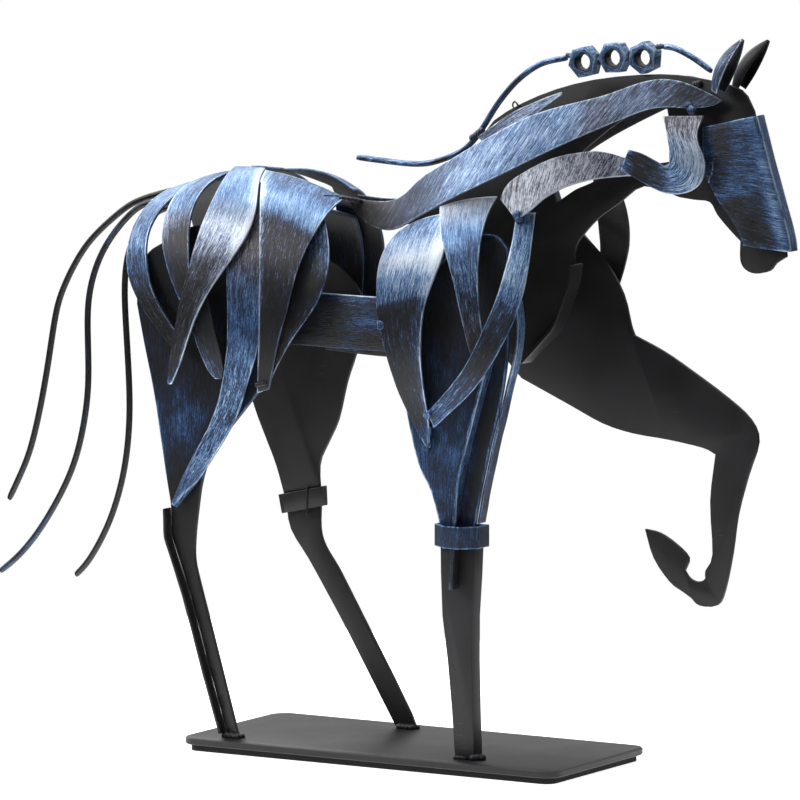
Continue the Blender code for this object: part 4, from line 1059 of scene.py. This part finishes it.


# Each weld: where its bead starts and ends in millimetres, its half width, how much blue it
# carries from 0 to 1, and how much painted sheen it shows.
WELDS = (
    ((-19.0, -5.4, 196.0), (-23.6, -10.2, 197.2), 0.9, 0.2, 0.8),
    ((56.9, -25.4, 197.0), (56.5, -23.6, 195.2), 1.7, 0.5, 0.0),
    ((-44.2, -32.6, 132.2), (-41.0, -32.5, 132.9), 1.0, 0.0, 0.2),
    ((23.6, -28.0, 120.5), (21.4, -26.4, 112.6), 0.7, 0.4, 0.0),
    ((114.6, -8.0, 235.7), (116.2, -8.5, 234.2), 1.6, 0.35, 0.1),
    ((112.7, -1.4, 242.2), (114.9, -1.2, 242.9), 1.2, 0.1, 0.8),
    ((24.6, -0.8, 219.9), (28.2, -0.6, 222.6), 1.3, 0.3, 0.5),
    ((75.1, -1.6, 250.9), (75.1, -1.6, 248.4), 0.9, 0.35, 0.6),
    ((75.1, 1.6, 250.9), (75.1, 1.6, 248.4), 0.9, 0.35, 0.2),
    ((87.4, -1.6, 252.6), (87.4, -1.6, 250.2), 0.9, 0.35, 0.6),
    ((87.4, 1.6, 252.6), (87.4, 1.6, 250.2), 0.9, 0.35, 0.2),
    ((62.6, -0.6, 250.4), (64.4, -0.6, 250.0), 1.0, 0.35, 0.4),
    ((98.3, -0.6, 254.8), (100.2, -0.6, 255.0), 1.0, 0.35, 0.4),
    ((123.6, -5.9, 217.8), (123.2, -6.2, 214.0), 0.45, 0.5, 0.6),
    ((122.9, -6.2, 212.6), (121.9, -6.5, 209.8), 0.5, 0.5, 0.6),
    ((-62.3, -25.8, 5.5), (-56.8, -25.8, 5.3), 1.5, -0.1, 0.4),
    ((-61.6, -23.3, 5.2), (-56.6, -23.3, 5.2), 1.1, -0.1, 0.3),
    ((-20.0, 23.3, 5.4), (-14.5, 23.3, 5.4), 1.3, -0.1, 0.3),
    ((-21.0, 25.6, 5.2), (-13.6, 25.6, 5.2), 1.0, -0.1, 0.3),
    ((39.2, -25.0, 5.6), (41.4, -22.8, 5.5), 1.6, -0.1, 0.4),
    ((32.4, -25.4, 5.2), (36.4, -24.2, 5.2), 1.0, -0.1, 0.3),
    ((-57.6, 22.4, 79.3), (-57.6, 22.4, 88.9), 0.45, -0.1, 0.6),
    ((-23.4, -8.6, 197.6), (-28.8, -12.6, 197.9), 0.45, 0.3, 0.9),
)
# A bead is a row of lumps, spaced by this share of its half width, whose sizes go by the ripple.
# They are melted together on a grid of this size.
BEAD_STEP = 0.6
RIPPLE = (1.0, 0.82, 1.08, 0.9)
BEAD_GRID = 0.2 * MM
# Each rivet head: its middle in mm, the way it faces, its radius in mm and its load of blue.
RIVETS = (
    ((25.0, -32.2, 125.9), (-0.03, -0.98, -0.22), 1.7, 0.55),
    ((5.9, -32.3, 156.1), (-0.15, -0.99, -0.05), 1.7, 0.38),
)
RIVET_HEIGHT = 1.3 * MM
RIVET_ROUND = 0.6 * MM
RIVET_SIDES = 28
RIVET_STEPS = 5
RIVET_SHARP = math.radians(60)
# How much bluer the top of a small piece is painted than its middle, a painted highlight where
# light falls from above, and the ring's load of blue.
PAINTED_TOP_HIGHLIGHT = 0.15
RING_LOAD = -0.1
# The ring of thin wire on the neck: its middle, the turn it lies at, its radius and its wire's
# radius, how far its twist bends it each way in mm, and the length that the twist goes by.
RING_MIDDLE = (42.0 * MM, -1.3 * MM, 232.0 * MM)
RING_TURN = (math.radians(78), math.radians(-28), 0)
RING_RADIUS = 1.3 * MM
RING_WIRE = 0.3 * MM
RING_TWIST = (0.2, 0.1, 0.25)
RING_TWIST_LENGTH = 0.7 * MM


def paint_lump(piece, blue, warm):
    """Lays the brush straight down a small piece, its upper side painted paler as a highlight."""
    x, y, z = corner_places(piece).T
    write_brush(piece, z, x + y)
    upper = read(piece.data.vertices, "normal")[:, 2]
    write_paint(piece, blue=blue + PAINTED_TOP_HIGHLIGHT * upper, warm=warm)


class HORSE_OT_welds(bpy.types.Operator):
    """Make the weld beads that hold the straps, nuts and feet, and the rivet heads"""

    bl_idname = "horse.welds"
    bl_label = "Welds and rivets"

    def execute(self, context):
        bpy.ops.object.select_all(action="DESELECT")
        beads = None
        for number, (start, end, half, _, _) in enumerate(WELDS):
            start, end = Vector(start) * MM, Vector(end) * MM
            half *= MM
            count = max(2, round((end - start).length / (BEAD_STEP * half)) + 1)
            for k in range(count):
                bpy.ops.mesh.primitive_ico_sphere_add(
                    subdivisions=2, radius=half * RIPPLE[(k + number) % len(RIPPLE)],
                    location=start.lerp(end, k / (count - 1)))
                # The first lump makes the piece. The others are added to it in edit mode.
                if beads is None:
                    beads = place_new("weld_beads")
                    bpy.ops.object.mode_set(mode="EDIT")
        end_edit()
        apply_modifier(beads, "REMESH", mode="VOXEL", voxel_size=BEAD_GRID)
        apply_modifier(beads, "SMOOTH", factor=0.5, iterations=2)
        middles = np.array([(Vector(weld[0]) + Vector(weld[1])) / 2 * MM for weld in WELDS])
        places = corner_places(beads)
        nearest = [int(((middles - place) ** 2).sum(1).argmin()) for place in places]
        blue, warm = np.array([WELDS[k][3:] for k in nearest]).T
        paint_lump(beads, blue, warm)
        hand_in(beads, None, brushed_blue_paint)
        for number, (place, facing, radius, blue) in enumerate(RIVETS, 1):
            bpy.ops.object.select_all(action="DESELECT")
            turned = Vector(facing).to_track_quat("Z", "Y").to_euler()
            bpy.ops.mesh.primitive_cylinder_add(
                vertices=RIVET_SIDES, radius=radius * MM, depth=RIVET_HEIGHT,
                location=Vector(place) * MM, rotation=turned)
            head = place_new(f"rivet_head_{number}")
            break_edges(head, RIVET_ROUND, RIVET_STEPS, RIVET_SHARP)
            paint_lump(head, blue, 0.0)
            hand_in(head, None, brushed_blue_paint)
        return {"FINISHED"}


class HORSE_OT_crest_ring(bpy.types.Operator):
    """Make the small twisted ring of thin wire that lies on the back of the neck"""

    bl_idname = "horse.crest_ring"
    bl_label = "Crest ring"

    def execute(self, context):
        bpy.ops.object.select_all(action="DESELECT")
        bpy.ops.mesh.primitive_torus_add(
            location=RING_MIDDLE, rotation=RING_TURN, major_segments=40, minor_segments=10,
            major_radius=RING_RADIUS, minor_radius=RING_WIRE)
        ring = place_new("crest_ring")
        for vert in ring.data.vertices:
            vert.co += Vector(RING_TWIST) * MM * math.sin(vert.co.x / RING_TWIST_LENGTH)
        paint_lump(ring, RING_LOAD, 0.0)
        hand_in(ring, None, brushed_blue_paint)
        return {"FINISHED"}


class HORSE_OT_base(bpy.types.Operator):
    """Make the base plate and its foam pad"""

    bl_idname = "horse.base"
    bl_label = "Base"

    def execute(self, context):
        hand_in(merged_copy("base_plate"), "base_plate", black_powder_coat)
        hand_in(merged_copy("base_pad"), "base_pad", foam_rubber)
        return {"FINISHED"}


# ---------------------------------------------------------------- stage

FLOOR_SIZE = 0.5
# Each soft light: its place and size in metres, and its share of the key light's power.
LIGHTS = {
    "overhead_light": ((-0.1, 0.2, 1.75), (1.6, 1.4), 1.0),
    "left_light": ((-1.23, 0.45, 1.06), (1.5, 1.2), 0.7),
    "sheen_light": ((-0.98, -1.05, 1.04), (0.9, 0.7), 0.75),
    "front_light": ((-0.35, -1.2, 1.2), (1.7, 1.0), 0.06),
}
LIGHT_AIM = Vector((0, 0, 0.14))
CAMERA_AIM = Vector((-0.00545, 0, 0.12584))
SENSOR_WIDTH = 36.0
# The way to the white screen behind the horse.
BEHIND = (-0.51, 0.86, 0)


class StageSettings(bpy.types.PropertyGroup):
    """Floor, lights and camera."""

    floor: bpy.props.FloatVectorProperty(
        name="Floor", description="Pale floor", subtype="COLOR", default=linear("#f4f4f4"))
    key_power: bpy.props.FloatProperty(
        name="Key power", description="Power of the large soft light",
        default=17.0, min=0.0, unit="POWER")
    fill_light: bpy.props.FloatProperty(
        name="Fill", description="Strength of the light from all around", default=0.15, min=0.0)
    screen_light: bpy.props.FloatProperty(
        name="Screen", description="Strength of the white screen behind the horse",
        default=0.5, min=0.0)
    view_turn: bpy.props.FloatProperty(
        name="View turn", description="How far the camera stands round to the horse's front",
        default=math.radians(30.95), subtype="ANGLE")
    view_lift: bpy.props.FloatProperty(
        name="View lift", description="How far the camera looks down",
        default=math.radians(6.91), subtype="ANGLE")
    view_distance: bpy.props.FloatProperty(
        name="View distance", description="From the camera to the horse",
        default=3.2, unit="LENGTH", subtype="DISTANCE")
    lens: bpy.props.FloatProperty(
        name="Lens", description="Focal length in millimetres, on a sensor 36 mm wide",
        default=409.6)


def soft_light(name, place, size, power):
    """Adds one large soft light that faces the horse."""
    light = bpy.data.lights.new(name, "AREA")
    light.shape = "RECTANGLE"
    light.size, light.size_y = size
    light.energy = power
    holder = bpy.data.objects.new(name, light)
    bpy.context.scene.collection.objects.link(holder)
    holder.location = place
    holder.rotation_euler = (LIGHT_AIM - Vector(place)).to_track_quat("-Z", "Y").to_euler()


def lay_floor(stage):
    """Lays a sheet of white paper, which glows a little so that it stays white beside the horse."""
    bpy.ops.object.select_all(action="DESELECT")
    bpy.ops.mesh.primitive_plane_add(size=FLOOR_SIZE, location=(0, 0, 0))
    floor = bpy.context.object
    floor.name = "floor"
    material, tree = new_tree("white_paper")
    shader = add_node(tree, "BsdfPrincipled",
                      {"Base Color": (*stage.floor, 1), "Roughness": 0.9,
                       "Specular IOR Level": 0.0, "Emission Color": (1, 1, 1, 1),
                       "Emission Strength": 0.85})
    add_node(tree, "OutputMaterial", {"Surface": shader})
    floor.data.materials.append(material)


def studio_world(stage):
    """Makes the light from all around.

    The camera sees plain white all round. The horse is lit by a dim studio that grows brighter
    upwards, and by the white screen behind it.
    """
    world = bpy.data.worlds.new("studio")
    world.use_nodes = True
    tree = world.node_tree
    tree.nodes.clear()
    path = add_node(tree, "LightPath")
    look = add_node(tree, "TexCoord").outputs["Generated"]
    height = add_node(tree, "SeparateXYZ", {0: look}).outputs["Z"]
    around = add_node(tree, "MapRange", {0: height, 1: -0.2, 3: stage.fill_light * 0.3,
                                         4: stage.fill_light * 2.5}, **SOFTLY)
    behind = add_node(tree, "VectorMath", {0: look, 1: BEHIND}, operation="DOT_PRODUCT")
    width = add_node(tree, "MapRange", {0: behind.outputs["Value"], 1: 0.1, 2: 0.6}, **SOFTLY)
    above = add_node(tree, "MapRange", {0: height, 1: -0.15, 2: 0.05, 4: stage.screen_light},
                     **SOFTLY)
    glow = add_node(tree, "Math", {0: width, 1: above, 2: around}, operation="MULTIPLY_ADD")
    dim = add_node(tree, "Background", {"Color": (1, 1, 1, 1), "Strength": glow})
    white = add_node(tree, "Background", {"Color": (1, 1, 1, 1), "Strength": 1.0})
    both = add_node(tree, "MixShader", {0: path.outputs["Is Camera Ray"], 1: dim, 2: white})
    add_node(tree, "OutputWorld", {"Surface": both})
    return world


def photo_camera(stage):
    """Makes the camera that sees the horse as the photograph does."""
    camera = bpy.data.cameras.new("camera")
    camera.lens = stage.lens
    camera.sensor_width = SENSOR_WIDTH
    camera.clip_start = 0.1
    camera.clip_end = 40.0
    holder = bpy.data.objects.new("camera", camera)
    bpy.context.scene.collection.objects.link(holder)
    turn, lift = stage.view_turn, stage.view_lift
    back = Vector((math.sin(turn) * math.cos(lift), -math.cos(turn) * math.cos(lift),
                   math.sin(lift)))
    holder.location = CAMERA_AIM + back * stage.view_distance
    holder.rotation_euler = (-back).to_track_quat("-Z", "Y").to_euler()
    return holder


class HORSE_OT_stage(bpy.types.Operator):
    """Make the floor, the studio light and the camera"""

    bl_idname = "horse.stage"
    bl_label = "Stage"

    def execute(self, context):
        scene = context.scene
        stage = scene.horse_stage
        lay_floor(stage)
        scene.world = studio_world(stage)
        for name, (place, size, share) in LIGHTS.items():
            soft_light(name, place, size, stage.key_power * share)
        scene.camera = photo_camera(stage)
        scene.view_settings.view_transform = "Standard"
        scene.view_settings.look = "None"
        return {"FINISHED"}


STEPS = (HORSE_OT_base, HORSE_OT_plates, HORSE_OT_body_straps, HORSE_OT_neck_straps,
         HORSE_OT_face_mask, HORSE_OT_ears, HORSE_OT_cuffs, HORSE_OT_wires, HORSE_OT_mane_nuts,
         HORSE_OT_welds, HORSE_OT_crest_ring, HORSE_OT_stage)


class HORSE_PT_steps(bpy.types.Panel):
    """Sidebar panel with the steps that dress the horse"""

    bl_label = "Walking Horse"
    bl_space_type = "VIEW_3D"
    bl_region_type = "UI"
    bl_category = "Horse"

    def draw(self, context):
        for step in STEPS:
            self.layout.operator(step.bl_idname)


SETTINGS = {"horse_sheet": SheetSettings, "horse_paint": PaintSettings,
            "horse_stage": StageSettings}


def register():
    """Registers the settings, the steps and the panel."""
    for cls in (*SETTINGS.values(), *STEPS, HORSE_PT_steps):
        bpy.utils.register_class(cls)
    for name, cls in SETTINGS.items():
        setattr(bpy.types.Scene, name, bpy.props.PointerProperty(type=cls))


def unregister():
    """Takes away what register added."""
    for name in SETTINGS:
        delattr(bpy.types.Scene, name)
    for cls in reversed((*SETTINGS.values(), *STEPS, HORSE_PT_steps)):
        bpy.utils.unregister_class(cls)


def main():
    register()
    for step in STEPS:
        group, name = step.bl_idname.split(".")
        getattr(getattr(bpy.ops, group), name)()


if __name__ == "__main__":
    main()
